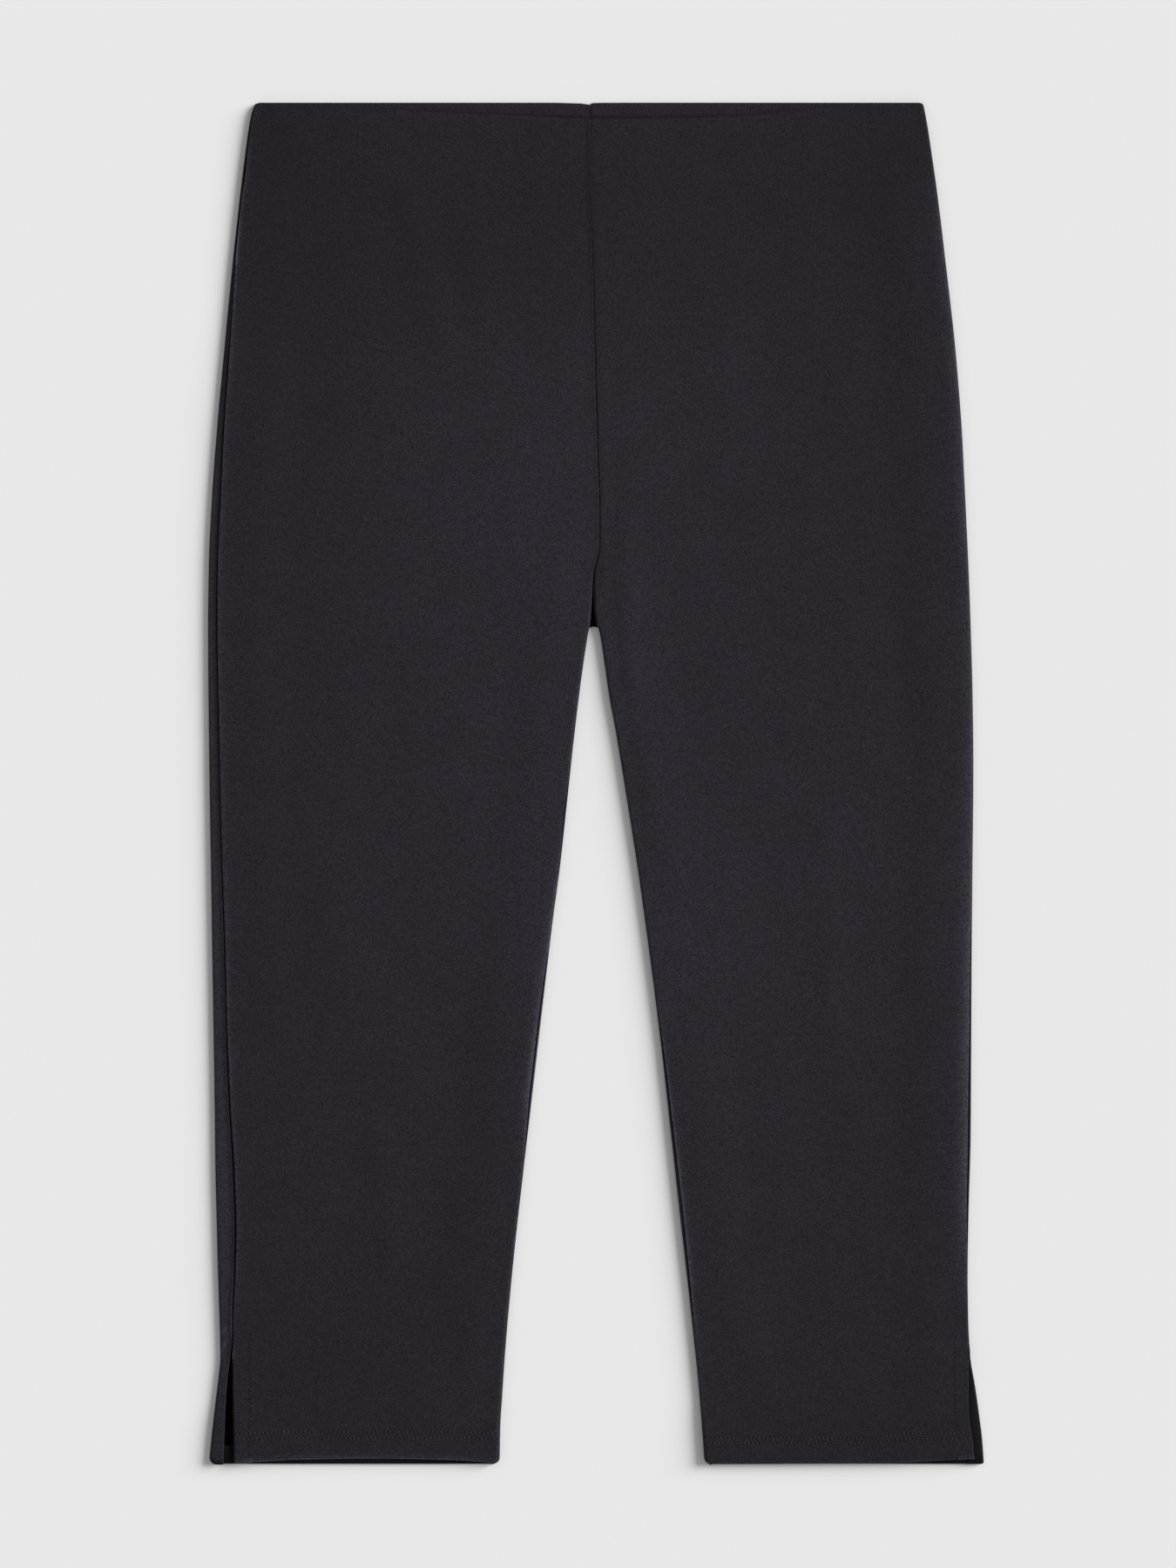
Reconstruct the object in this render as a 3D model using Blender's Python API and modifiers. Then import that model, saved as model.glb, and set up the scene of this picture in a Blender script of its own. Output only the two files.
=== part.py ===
"""Capri pants laid flat on a surface, front up: four leg panels and the facing inside the back waist.

Right and left are the wearer's. +X runs to the wearer's left, +Y to the waist and +Z up from the surface.
The tables and sizes are in millimetres. Their places down are measured from the back waist edge towards the
hem, and their places out from the middle of the garment. Each panel is a sheet lofted through cross-sections
one above another, and a Solidify modifier gives it the cloth's thickness.
"""

import math
from bisect import bisect_right
from collections import namedtuple

import bmesh
import bpy

MM = 0.001  # metres in a millimetre

# Driving sizes
LENGTH = 867.6  # from the back waist edge to the back hem
WALL = 1.1  # the cloth's thickness
GAP = 0.3  # between two pieces that are sewn together or lie on each other
ROLL = 1.6  # radius of the rolled edges, to the middle of the cloth
SIDE_ROLL = 1.2  # the same where the right side is folded onto the front
HEM_ROLL = 2.1  # the same at the hems, which are four layers thick
FRONT_RISE = 0.3  # how much the front stands up beside the centre seam
DITCH_RADIUS = 2.0  # bend of the cloth into a seam
DITCH_TURN = math.radians(35)
HIDDEN_TURN = math.radians(108)  # how far the front turns down to a seam that hides under the edge
RIM_TURN = math.radians(90)  # how far it turns down where it stands over the folded side
RIM_LIFT = 1.8  # the lift at which it has turned that far
RIM_RADIUS = 1.4
HEM_TOP = 845  # where the turned-up hem ends
SLIT_TOP = 801  # where the turned-back slit edges start
SLIT_END = 842  # where they end, just above the hem
CORNER = 4.0  # radius of a hem corner at a rolled edge
SLIT_CORNER = 1.5  # the same where the back lies open at the slit
FACING_DEPTH = 42
FACING_DROP = 0.7  # of the facing's edge under the back waist edge
WAIST_EASE = 60.0  # length over which the waist edge's shape fades out down the panel
EDGE_BAND = 16.0  # width beside an edge that lies as high as the edge
EDGE_EASE = 34.0  # width over which the cloth then comes to the height of the middle
CLOTH_RGB = (0.0235, 0.0212, 0.0270)
FACING_RGB = (0.0262, 0.0212, 0.0278)

LAYER = WALL + GAP  # from the middle of one layer to the next
FLOOR = WALL / 2  # height of the middle of the cloth that lies on the surface
FOLD = LAYER / 2  # radius of a turned edge

# Resolution
LEAD = 1.0  # straight run in front of each edge's bend
OPEN_LEAD = 5.0  # the same where the edge lies open
EDGE_STEPS = 5
LAST_STEP = 0.15  # at an edge's end, for each millimetre of lead, so that its end face is square
BESIDE_EDGE = (2.0, 12.0, 32.0)  # columns near an edge
MIDDLE = (1 / 3, 2 / 3)  # columns between them
FOLD_STEPS = 3
STATIONS = (0, 3, 8, 17, 30, 42, 60, 90, 130, 170, 212, 252, 285, 297, 311, 322, 330, 332.4, 333.5, 334.6, 341)
STATIONS += (350, 375, 410, 455, 510, 565, 620, 675, 720, 760, 787, 794, SLIT_TOP - GAP, SLIT_TOP, 815, 829)
STATIONS += (SLIT_END, HEM_TOP, 856, LENGTH)

# An outer side. edge: the outline's place out. seam: how far in from it the front panel starts, less than
# nothing where the seam hides under the edge. slit: how much further out the back panel ends. lift: how far
# the front stands over the folded back. front_open and back_open: 0 where a panel is sewn to the other and 1
# where it lies open at the slit.
Side = namedtuple("Side", "down edge seam slit lift front_open back_open roll")
RIGHT_SIDE = (
    Side(0, 217.2, 0.9, 0, 0.0, 0, 0, 1.45),
    Side(6, 219.5, 0.9, 0, 0.0, 0, 0, 1.45),
    Side(15, 221.1, 0.8, 0, 0.0, 0, 0, 1.45),
    Side(35, 223.8, 0.8, 0, 0.0, 0, 0, 1.45),
    Side(62, 227.0, 1.1, 0, 0.0, 0, 0, 1.4),
    Side(95, 230.7, 1.7, 0, 0.0, 0, 0, 1.3),
    Side(130, 234.2, 2.8, 0, 0.5, 0, 0, SIDE_ROLL),
    Side(168, 237.8, 3.9, 0, 1.3, 0, 0, SIDE_ROLL),
    Side(210, 241.6, 4.8, 0, 1.8, 0, 0, SIDE_ROLL),
    Side(251, 244.6, 5.8, 0, 1.8, 0, 0, SIDE_ROLL),
    Side(293, 246.6, 5.9, 0, 1.8, 0, 0, SIDE_ROLL),
    Side(334, 247.1, 6.1, 0, 1.8, 0, 0, SIDE_ROLL),
    Side(434, 246.2, 6.9, 0, 1.7, 0, 0, SIDE_ROLL),
    Side(484, 245.4, 7.4, 0, 1.4, 0, 0, SIDE_ROLL),
    Side(534, 244.6, 8.2, 0, 0.7, 0, 0, SIDE_ROLL),
    Side(584, 243.8, 8.6, 0, 0.2, 0, 0, SIDE_ROLL),
    Side(634, 243.0, 9.7, 0, 0.1, 0, 0, SIDE_ROLL),
    Side(684, 242.4, 12.0, 0, 0.1, 0, 0, SIDE_ROLL),
    Side(712, 241.7, 12.4, 0, 0.1, 0, 0, SIDE_ROLL),
    Side(740, 241.0, 11.3, 0, 0.1, 0, 0, SIDE_ROLL),
    Side(780, 239.7, 8.5, 0.0, 0.3, 0, 0, SIDE_ROLL),
    Side(787, 239.5, 8.4, 0.0, 0.3, 0, 0, SIDE_ROLL),
    Side(800, 239.3, 7.8, 0.9, 0.2, 1, 0, SIDE_ROLL),
    Side(810, 240.2, 8.8, 2.3, 0.4, 1, 0, SIDE_ROLL),
    Side(825, 242.0, 10.7, 3.7, 0.7, 1, 0, SIDE_ROLL),
    Side(845, 244.3, 13.4, 4.9, 1.5, 1, 0, ROLL),
    Side(LENGTH, 246.2, 15.8, 6.2, 1.5, 1, 0, ROLL),
)
LEFT_SIDE = (
    Side(0, 208.9, -0.5, 0, 0, 0, 0, ROLL),
    Side(6, 210.1, -0.5, 0, 0, 0, 0, ROLL),
    Side(15, 211.6, -0.5, 0, 0, 0, 0, ROLL),
    Side(35, 214.5, -0.5, 0, 0, 0, 0, ROLL),
    Side(62, 218.1, -0.5, 0, 0, 0, 0, ROLL),
    Side(107, 223.5, -0.5, 0, 0, 0, 0, ROLL),
    Side(157, 229.1, -0.5, 0, 0, 0, 0, ROLL),
    Side(212, 233.4, -0.3, 0, 0, 0, 0, ROLL),
    Side(252, 235.4, 0.3, 0, 0, 0, 0, ROLL),
    Side(290, 237.2, -0.3, 0, 0, 0, 0, ROLL),
    Side(323, 238.5, -0.5, 0, 0, 0, 0, ROLL),
    Side(379, 240.1, -0.5, 0, 0, 0, 0, ROLL),
    Side(423, 240.6, -0.5, 0, 0, 0, 0, ROLL),
    Side(490, 240.0, 0.0, 0, 0, 0, 0, ROLL),
    Side(540, 239.5, 1.0, 0, 0, 0, 0, ROLL),
    Side(600, 239.2, 1.3, 0, 0, 0, 0, ROLL),
    Side(656, 238.9, 1.4, 0, 0, 0, 0, ROLL),
    Side(712, 237.4, 1.1, 0, 0, 0, 0, ROLL),
    Side(744, 236.9, 0.3, 0, 0, 0, 0, ROLL),
    Side(773, 237.2, -0.3, 0, 0, 0, 0, ROLL),
    Side(788, 237.8, -0.5, 0, 0, 0, 0, ROLL),
    Side(794, 238.2, 0.2, 0, 0.9, 0.3, 0.7, ROLL),
    Side(801, 238.8, 1.3, 0, 1.5, 1, 1, ROLL),
    Side(818, 241.7, 4.0, 0, 1.5, 1, 1, ROLL),
    Side(840, 244.8, 6.1, 0, 1.5, 1, 1, ROLL),
    Side(853, 246.3, 6.4, 0, 1.5, 1, 1, ROLL),
    Side(LENGTH, 247.3, 6.3, 0, 1.5, 1, 1, ROLL),
)

# The inner side of a leg, and the centre seams above it, as places along X. flat is 1 at a centre seam, where
# two panels meet in one layer, and 0 where the leg's edge is rolled.
Inner = namedtuple("Inner", "down front front_flat back back_flat seam roll")
RIGHT_INNER = (
    Inner(0, -3.4, 1, -3.3, 1, -0.5, ROLL),
    Inner(24, -4.4, 1, -3.2, 1, -0.5, ROLL),
    Inner(65, -4.4, 1, -3.0, 1, -0.5, ROLL),
    Inner(74, -3.4, 1, -3.0, 1, -0.5, ROLL),
    Inner(103, -2.2, 1, -2.7, 1, -0.5, ROLL),
    Inner(170, -0.6, 1, -2.2, 1, -0.5, ROLL),
    Inner(201, 0.3, 1, -2.0, 1, -0.5, ROLL),
    Inner(232, 1.1, 1, -1.7, 1, -0.5, ROLL),
    Inner(250, 2.0, 1, -1.5, 1, -0.5, ROLL),
    Inner(282, 2.1, 1, -1.4, 1, -0.5, ROLL),
    Inner(291, 0.6, 0.8, -1.3, 1, -0.5, ROLL),
    Inner(297, -1.3, 0.6, -1.2, 1, -0.5, ROLL),
    Inner(311, -2.1, 0.3, -1.2, 1, -0.5, ROLL),
    Inner(322, -2.8, 0.1, -1.2, 1, -0.5, ROLL),
    Inner(332.4, -3.4, 0.0, -1.2, 1, -0.5, ROLL),
    Inner(334.6, -4.1, 0.0, -4.1, 0.1, -0.5, ROLL),
    Inner(341, -5.4, 0.0, -5.4, 0, -0.5, ROLL),
    Inner(379, -10.8, 0.0, -10.8, 0, -0.5, ROLL),
    Inner(423, -15.9, 0.0, -15.9, 0, 0.3, ROLL),
    Inner(455, -19.3, 0.0, -19.3, 0, 1.0, ROLL),
    Inner(490, -23.2, 0.0, -23.2, 0, 0.2, ROLL),
    Inner(518, -27.0, 0.0, -27.0, 0, -0.3, ROLL),
    Inner(573, -33.6, 0.0, -33.6, 0, 0.9, ROLL),
    Inner(629, -40.1, 0.0, -40.1, 0, 1.0, ROLL),
    Inner(684, -46.5, 0.0, -46.5, 0, -0.2, ROLL),
    Inner(734, -52.1, 0.0, -52.1, 0, -0.5, ROLL),
    Inner(788, -57.1, 0.0, -57.1, 0, -0.5, ROLL),
    Inner(823, -59.6, 0.0, -59.6, 0, -0.5, ROLL),
    Inner(845, -60.9, 0.0, -60.9, 0, -0.5, HEM_ROLL),
    Inner(LENGTH, -61.2, 0.0, -61.2, 0, -0.5, HEM_ROLL),
)
LEFT_INNER = (
    Inner(0, -3.1, 1, -3.0, 1, -0.5, ROLL),
    Inner(24, -4.1, 1, -2.9, 1, -0.5, ROLL),
    Inner(65, -4.1, 1, -2.7, 1, -0.5, ROLL),
    Inner(74, -3.1, 1, -2.7, 1, -0.5, ROLL),
    Inner(103, -1.9, 1, -2.4, 1, -0.5, ROLL),
    Inner(170, -0.3, 1, -1.9, 1, -0.5, ROLL),
    Inner(201, 0.6, 1, -1.7, 1, -0.5, ROLL),
    Inner(232, 1.4, 1, -1.4, 1, -0.5, ROLL),
    Inner(250, 2.3, 1, -1.2, 1, -0.5, ROLL),
    Inner(282, 2.4, 1, -1.1, 1, -0.5, ROLL),
    Inner(291, 0.9, 0.8, -1.0, 1, -0.5, ROLL),
    Inner(297, -1.0, 0.6, -0.9, 1, -0.5, ROLL),
    Inner(311, -1.5, 0.3, -0.9, 1, -0.5, ROLL),
    Inner(322, -0.6, 0.1, -0.9, 1, -0.5, ROLL),
    Inner(332.4, 1.2, 0.0, -0.9, 1, -0.5, ROLL),
    Inner(334.6, 1.6, 0.0, 1.6, 0.1, -0.5, ROLL),
    Inner(357, 5.4, 0.0, 5.4, 0, -0.5, ROLL),
    Inner(379, 8.6, 0.0, 8.6, 0, -0.5, ROLL),
    Inner(401, 12.7, 0.0, 12.7, 0, -0.5, ROLL),
    Inner(445, 19.9, 0.0, 19.9, 0, -0.5, ROLL),
    Inner(490, 26.9, 0.0, 26.9, 0, -0.5, ROLL),
    Inner(545, 34.5, 0.0, 34.5, 0, -0.2, ROLL),
    Inner(601, 41.6, 0.0, 41.6, 0, 1.1, ROLL),
    Inner(656, 47.7, 0.0, 47.7, 0, 1.4, ROLL),
    Inner(712, 53.9, 0.0, 53.9, 0, 1.4, ROLL),
    Inner(767, 60.2, 0.0, 60.2, 0, 1.0, ROLL),
    Inner(823, 65.9, 0.0, 65.9, 0, -0.3, ROLL),
    Inner(845, 67.6, 0.0, 67.6, 0, -0.5, HEM_ROLL),
    Inner(LENGTH, 69.0, 0.0, 69.0, 0, -0.5, HEM_ROLL),
)

# The middle of the front panels over the surface: three layers at the waist, two down the leg and four at the
# hem, with a little air between them.
Height = namedtuple("Height", "down level")
FRONT_LEVEL = (
    Height(0, FLOOR + 2 * LAYER),
    Height(FACING_DEPTH, FLOOR + 2 * LAYER),
    Height(75, 2.5),
    Height(200, 2.4),
    Height(330, 2.7),
    Height(420, 2.5),
    Height(700, 2.5),
    Height(780, 2.9),
    Height(842, FLOOR + 3 * LAYER),
    Height(LENGTH, FLOOR + 3 * LAYER),
)

# The waist and hem edges along X: how far down the waist edges lie, and how far up the front hem ends.
Waist = namedtuple("Waist", "out down")
FRONT_WAIST = (
    Waist(-219, 0.6),
    Waist(-180, 1.7),
    Waist(-145, 3.7),
    Waist(-108, 6.2),
    Waist(-39, 9.2),
    Waist(-3.3, 10.9),
    Waist(87, 9.3),
    Waist(123, 5.9),
    Waist(154, 2.4),
    Waist(167, 0.9),
    Waist(209, 0.6),
)
BACK_WAIST = (
    Waist(-219, 0.0),
    Waist(-26, 0.1),
    Waist(-18, 0.4),
    Waist(-3.4, 2.1),
    Waist(-2.9, 1.0),
    Waist(4, 0.4),
    Waist(30, 0.2),
    Waist(209, 0.0),
)
Hem = namedtuple("Hem", "out up")
FRONT_HEM = (
    Hem(-231, 0.9),
    Hem(-214, 2.2),
    Hem(-190, 3.5),
    Hem(-141, 4.2),
    Hem(-91, 3.5),
    Hem(-70, 2.2),
    Hem(-61, 0.9),
    Hem(69, 0.2),
    Hem(188, 1.3),
    Hem(220, 3.2),
    Hem(242, 4.5),
)

# One edge of a cross-section: where its bend starts, which way it faces, the height it starts at, whether it
# turns up (1) or down (-1), the bend's radius and angle, and the straight runs of cloth after and before it.
Bend = namedtuple("Bend", "start facing level rise radius turn run lead")


def between(table, place):
    """The row of a table at a place, on curves through its rows that never swing past them."""
    places = [row[0] for row in table]
    k = min(max(bisect_right(places, place) - 1, 0), len(table) - 2)
    span = places[k + 1] - places[k]
    t = min(max((place - places[k]) / span, 0), 1)

    def slope(n, column):
        """The steepness of a column between two rows."""
        return (table[n + 1][column] - table[n][column]) / (places[n + 1] - places[n])

    def tangent(n, column):
        """The steepness of a column's curve at a row: none where the column turns back."""
        if n in (0, len(table) - 1):
            return slope(min(n, len(table) - 2), column)
        before, after = slope(n - 1, column), slope(n, column)
        return 2 * before * after / (before + after) if before * after > 0 else 0

    values = [place]
    for column in range(1, len(table[0])):
        low, high = table[k][column], table[k + 1][column]
        ease = t * t * (3 - 2 * t)
        lean = t * (1 - t) * span * ((1 - t) * tangent(k, column) - t * tangent(k + 1, column))
        values.append(low + (high - low) * ease + lean)
    return type(table[0])(*values)


def fade(down, start, end):
    """0 before a stretch, 1 after it."""
    return min(max((down - start) / (end - start), 0), 1)


def mix(rolled, open_, flat):
    """A size between its value at a rolled edge and at one that lies open."""
    return rolled + (open_ - rolled) * flat


def reach(radius):
    """How far a rolled edge's outline lies from the centre of its bend."""
    return radius + WALL / 2


def rolled_seam(seam, radius):
    """How far the front turns down and the back turns up to a seam on a rolled edge."""
    if seam < 0:
        down = math.pi / 2 - seam / radius
    else:
        down = math.asin(max(1 - seam / reach(radius), 0))
    return down, math.pi - down - 1.3 * GAP / (radius - WALL / 2)


def front_outer(side, row, turning):
    """The front's bend at the side seam, or its open edge at the slit, with room for a turning."""
    over = min(row.lift / RIM_LIFT, 1)
    if row.seam < reach(row.roll):
        down, _ = rolled_seam(row.seam, row.roll)
        turn, radius = mix(down, 0, row.front_open), row.roll
    else:
        turn = mix(DITCH_TURN + (RIM_TURN - DITCH_TURN) * over, 0, row.front_open)
        radius = DITCH_RADIUS + (RIM_RADIUS - DITCH_RADIUS) * over
    end = row.edge - max(row.seam, 0) - turning
    start = end - reach(radius) * math.sin(min(turn, math.pi / 2))
    top = mix(2 * row.roll, 2 * LAYER, row.front_open) + row.lift + FLOOR
    return Bend(side * start, side, top, -1, radius, turn, 0, mix(LEAD, OPEN_LEAD, row.front_open))


def back_outer(side, row, turning):
    """The back's bend at the side fold and the strip that lies on the front, or its open edge at the slit."""
    run = 0
    if row.seam < reach(row.roll):
        _, turn = rolled_seam(row.seam, row.roll)
    else:
        turn = math.pi - GAP / row.roll
        run = max(row.seam - row.slit - GAP - reach(row.roll), 0) * (1 - row.back_open)
    start = row.edge - reach(row.roll) * (1 - row.back_open) - turning
    lead = mix(LEAD, OPEN_LEAD, row.back_open)
    return Bend(side * start, side, FLOOR, 1, row.roll, turn * (1 - row.back_open), run, lead)


def front_inner(side, row, level):
    """The front's bend at the centre seam or the inseam."""
    down, _ = rolled_seam(row.seam, row.roll)
    turn = mix(down, DITCH_TURN, row.front_flat)
    out = row.front - side * max(row.seam, 0) * (1 - row.front_flat)
    start = out - side * reach(row.roll) * math.sin(min(turn, math.pi / 2))
    top = mix(FLOOR + 2 * row.roll, level + FRONT_RISE, row.front_flat)
    return Bend(start, side, top, -1, row.roll, turn, 0, LEAD)


def back_inner(side, row):
    """The back's bend at the centre seam or the inseam."""
    _, turn = rolled_seam(row.seam, row.roll)
    start = row.back - side * reach(row.roll) * (1 - row.back_flat)
    return Bend(start, side, FLOOR, 1, row.roll, turn * (1 - row.back_flat), 0, LEAD)


def bend_points(bend):
    """Points (x, z) along an edge, from its straight lead to its end."""
    arc = bend.turn * bend.radius
    whole = bend.lead + arc + bend.run
    tail = max(bend.run, whole / EDGE_STEPS)
    stops = [(whole - tail) * k / EDGE_STEPS for k in range(EDGE_STEPS + 1)]
    stops += [whole - LAST_STEP * bend.lead, whole]
    points = []
    for stop in stops:
        lead = min(stop - bend.lead, 0)
        angle = min(max(stop - bend.lead, 0) / bend.radius, bend.turn)
        run = max(stop - bend.lead - arc, 0)
        along = lead + bend.radius * math.sin(angle) + run * math.cos(bend.turn)
        lift = bend.radius * (1 - math.cos(angle)) + run * math.sin(bend.turn)
        points.append((bend.start + bend.facing * along, bend.level + bend.rise * lift))
    return points


def section(outer, inner, level):
    """Points (x, z) across a panel, from its outer edge to its inner one."""
    first, last = bend_points(outer), bend_points(inner)
    left, right = first[0][0], last[0][0]
    across = right - left
    near = [offset / abs(across) for offset in BESIDE_EDGE]
    shares = near + list(MIDDLE) + [1 - share for share in reversed(near)]
    middle = []
    for share in shares:
        from_left, from_right = share * abs(across), (1 - share) * abs(across)
        z = level
        for distance, end in ((from_left, first[0][1]), (from_right, last[0][1])):
            z += (end - level) * (1 + math.cos(math.pi * fade(distance, EDGE_BAND, EDGE_BAND + EDGE_EASE))) / 2
        middle.append((left + across * share, z))
    return first[::-1] + middle + last


OUTER_COLUMNS = EDGE_STEPS + 3
MIDDLE_COLUMNS = 2 * len(BESIDE_EDGE) + len(MIDDLE)
FIRST_MIDDLE = OUTER_COLUMNS
LAST_MIDDLE = OUTER_COLUMNS + MIDDLE_COLUMNS - 1


def corner(inside, radius):
    """How far up a rounded corner lifts the hem, at a distance in from the side."""
    short = min(max(radius - inside, 0), radius)
    return radius - math.sqrt(radius**2 - short**2)


def panel_grid(cross_section, waist, hem, corners, first_turned):
    """Points of a panel, a row for each station. The turned-up columns stop short to leave room for the fold."""
    grid = []
    for station in STATIONS:
        points = cross_section(station)
        outer, inner = corners
        low, high = min(x for x, _ in points), max(x for x, _ in points)
        at_waist = 1 - fade(station, 0, WAIST_EASE)
        at_hem = fade(station, HEM_TOP, LENGTH)
        row = []
        for column, (x, z) in enumerate(points):
            turned = first_turned <= column <= LAST_MIDDLE
            inside = min(x - low, high - x)
            radius = outer if column < FIRST_MIDDLE + 2 else inner
            up = hem(x) + corner(inside, radius) + (reach(FOLD) if turned else 0)
            down = station + waist(x) * at_waist - up * at_hem
            row.append((x, LENGTH / 2 - down, z))
        grid.append(row)
    return grid


def rib(edge, outward, inward, inside):
    """A strip across a turned edge: round the fold, then back over points of the panel, moved inward."""
    points = []
    for step in range(1, FOLD_STEPS + 1):
        angle = math.pi * step / FOLD_STEPS
        lift, out = FOLD * (1 - math.cos(angle)), FOLD * math.sin(angle)
        points.append(tuple(e + lift * n + out * d for e, n, d in zip(edge, inward, outward)))
    points += [tuple(p + 2 * FOLD * n for p, n in zip(point, inward)) for point in inside]
    return points


def hem_turning(grid, inward, first_turned):
    """The turned-up hem, as ribs that start at points of the panel's last row."""
    ribs = []
    for column in range(first_turned, LAST_MIDDLE + 1):
        inside = [grid[row][column] for row in range(len(grid) - 2, STATIONS.index(HEM_TOP) - 1, -1)]
        ribs.append(((len(grid) - 1, column), rib(grid[-1][column], (0, -1, 0), inward, inside)))
    return ribs


def slit_turning(grid, facing, inward):
    """The turned-back slit edge, as ribs that start at points of the panel's outer column."""
    ribs = []
    for row in range(STATIONS.index(SLIT_TOP), STATIONS.index(SLIT_END) + 1):
        inside = [grid[row][FIRST_MIDDLE + k] for k in range(2)]
        ribs.append(((row, 0), rib(grid[row][0], (facing, 0, 0), inward, inside)))
    return ribs


def slit_room(down):
    """The room that the fold of a turned-back slit edge takes at a place down."""
    return reach(FOLD) if SLIT_TOP <= down <= SLIT_END else 0


def loft(mesh, rows):
    """Faces between neighbouring rows of vertices."""
    for here, ahead in zip(rows, rows[1:]):
        for k in range(len(here) - 1):
            mesh.faces.new((here[k], here[k + 1], ahead[k + 1], ahead[k]))


def cloth_material(name, colour):
    """Matt stretch cloth."""
    material = bpy.data.materials.new(name + "_cloth")
    material.use_nodes = True
    shader = material.node_tree.nodes["Principled BSDF"]
    shader.inputs["Base Color"].default_value = (*colour, 1)
    shader.inputs["Roughness"].default_value = 0.9
    shader.inputs["Metallic"].default_value = 0
    return material


def cloth_piece(name, grid, turnings, colour, collection):
    """A named piece of cloth: its sheet, the edges turned in on it, and the cloth's thickness."""
    shape = bmesh.new()
    rows = [[shape.verts.new([MM * c for c in point]) for point in row] for row in grid]
    loft(shape, rows)
    for ribs in turnings:
        strips = []
        for (row, column), points in ribs:
            strips.append([rows[row][column]] + [shape.verts.new([MM * c for c in p]) for p in points])
        loft(shape, strips)
    bmesh.ops.recalc_face_normals(shape, faces=shape.faces)
    mesh = bpy.data.meshes.new(name)
    shape.to_mesh(mesh)
    shape.free()
    mesh.shade_smooth()
    mesh.materials.append(cloth_material(name, colour))
    piece = bpy.data.objects.new(name, mesh)
    collection.objects.link(piece)
    wall = piece.modifiers.new("wall", "SOLIDIFY")
    wall.thickness = WALL * MM
    wall.offset = 0
    wall.use_even_offset = True
    wall.use_quality_normals = True
    return piece


def front_panel(name, side, outer_table, inner_table, collection):
    """A front panel, with its hem turned up and its slit edge turned back, both under it."""

    def cross_section(down):
        level = between(FRONT_LEVEL, down).level
        outer = front_outer(side, between(outer_table, down), slit_room(down))
        return section(outer, front_inner(-side, between(inner_table, down), level), level)

    grid = panel_grid(
        cross_section,
        lambda x: between(FRONT_WAIST, x).down,
        lambda x: between(FRONT_HEM, x).up,
        (0, CORNER),
        0,
    )
    turnings = [hem_turning(grid, (0, 0, -1), 0), slit_turning(grid, side, (0, 0, -1))]
    return cloth_piece(name, grid, turnings, CLOTH_RGB, collection)


def back_panel(name, side, outer_table, inner_table, collection):
    """A back panel, with its hem turned up over it, and the facing that lies on it inside the waist."""
    open_slit = outer_table[-1].back_open == 1

    def cross_section(down):
        outer = back_outer(side, between(outer_table, down), slit_room(down) if open_slit else 0)
        return section(outer, back_inner(-side, between(inner_table, down)), FLOOR)

    first_turned = 0 if open_slit else FIRST_MIDDLE
    grid = panel_grid(
        cross_section,
        lambda x: between(BACK_WAIST, x).down,
        lambda x: 0,
        (SLIT_CORNER if open_slit else CORNER, CORNER),
        first_turned,
    )
    turnings = [hem_turning(grid, (0, 0, 1), first_turned)]
    if open_slit:
        turnings.append(slit_turning(grid, side, (0, 0, 1)))
    cloth_piece(name, grid, turnings, CLOTH_RGB, collection)
    facing = []
    for row, station in zip(grid[: STATIONS.index(FACING_DEPTH) + 1], STATIONS):
        drop = FACING_DROP * (1 - fade(station, 0, FACING_DEPTH))
        facing.append([(x, y - drop, z + LAYER) for x, y, z in row[FIRST_MIDDLE:]])
    cloth_piece(name.replace("back", "waist_facing"), facing, [], FACING_RGB, collection)


def main():
    """Clears the scene and builds the garment."""
    for item in list(bpy.data.objects):
        bpy.data.objects.remove(item, do_unlink=True)
    collection = bpy.data.collections.new("capri_pants")
    bpy.context.scene.collection.children.link(collection)
    for name, side, outer, inner in (
        ("right", -1, RIGHT_SIDE, RIGHT_INNER),
        ("left", 1, LEFT_SIDE, LEFT_INNER),
    ):
        front_panel("front_" + name, side, outer, inner, collection)
        back_panel("back_" + name, side, outer, inner, collection)


main()
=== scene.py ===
"""Capri pants laid flat, front up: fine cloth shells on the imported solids, their stitching and a pale floor.

Right and left are the wearer's. +X runs to the wearer's left, +Y to the waist and +Z up from the surface.
Tables and lengths are in millimetres, places down are from the back waist edge, and places out from the
middle of the garment.
"""

import math
from bisect import bisect_right
from collections import namedtuple
from functools import lru_cache, partial

import bmesh
import bpy
from bpy.props import FloatProperty, FloatVectorProperty, PointerProperty
from bpy.types import NodeSocket, Operator, Panel, PropertyGroup, Scene
from mathutils import Matrix, Vector
from mathutils.bvhtree import BVHTree


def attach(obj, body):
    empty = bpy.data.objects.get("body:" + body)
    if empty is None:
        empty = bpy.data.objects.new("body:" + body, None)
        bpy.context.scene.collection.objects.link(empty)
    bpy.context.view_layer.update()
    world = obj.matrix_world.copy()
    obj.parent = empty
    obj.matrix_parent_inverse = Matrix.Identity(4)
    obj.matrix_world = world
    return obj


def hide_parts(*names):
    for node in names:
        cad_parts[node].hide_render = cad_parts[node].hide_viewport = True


bl_info = {
    "name": "Capri pants",
    "version": (1, 0, 0),
    "blender": (4, 5, 0),
    "location": "View3D > Sidebar > Capri pants",
    "description": "Dresses a pair of capri pants laid flat",
    "category": "Object",
}

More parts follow.
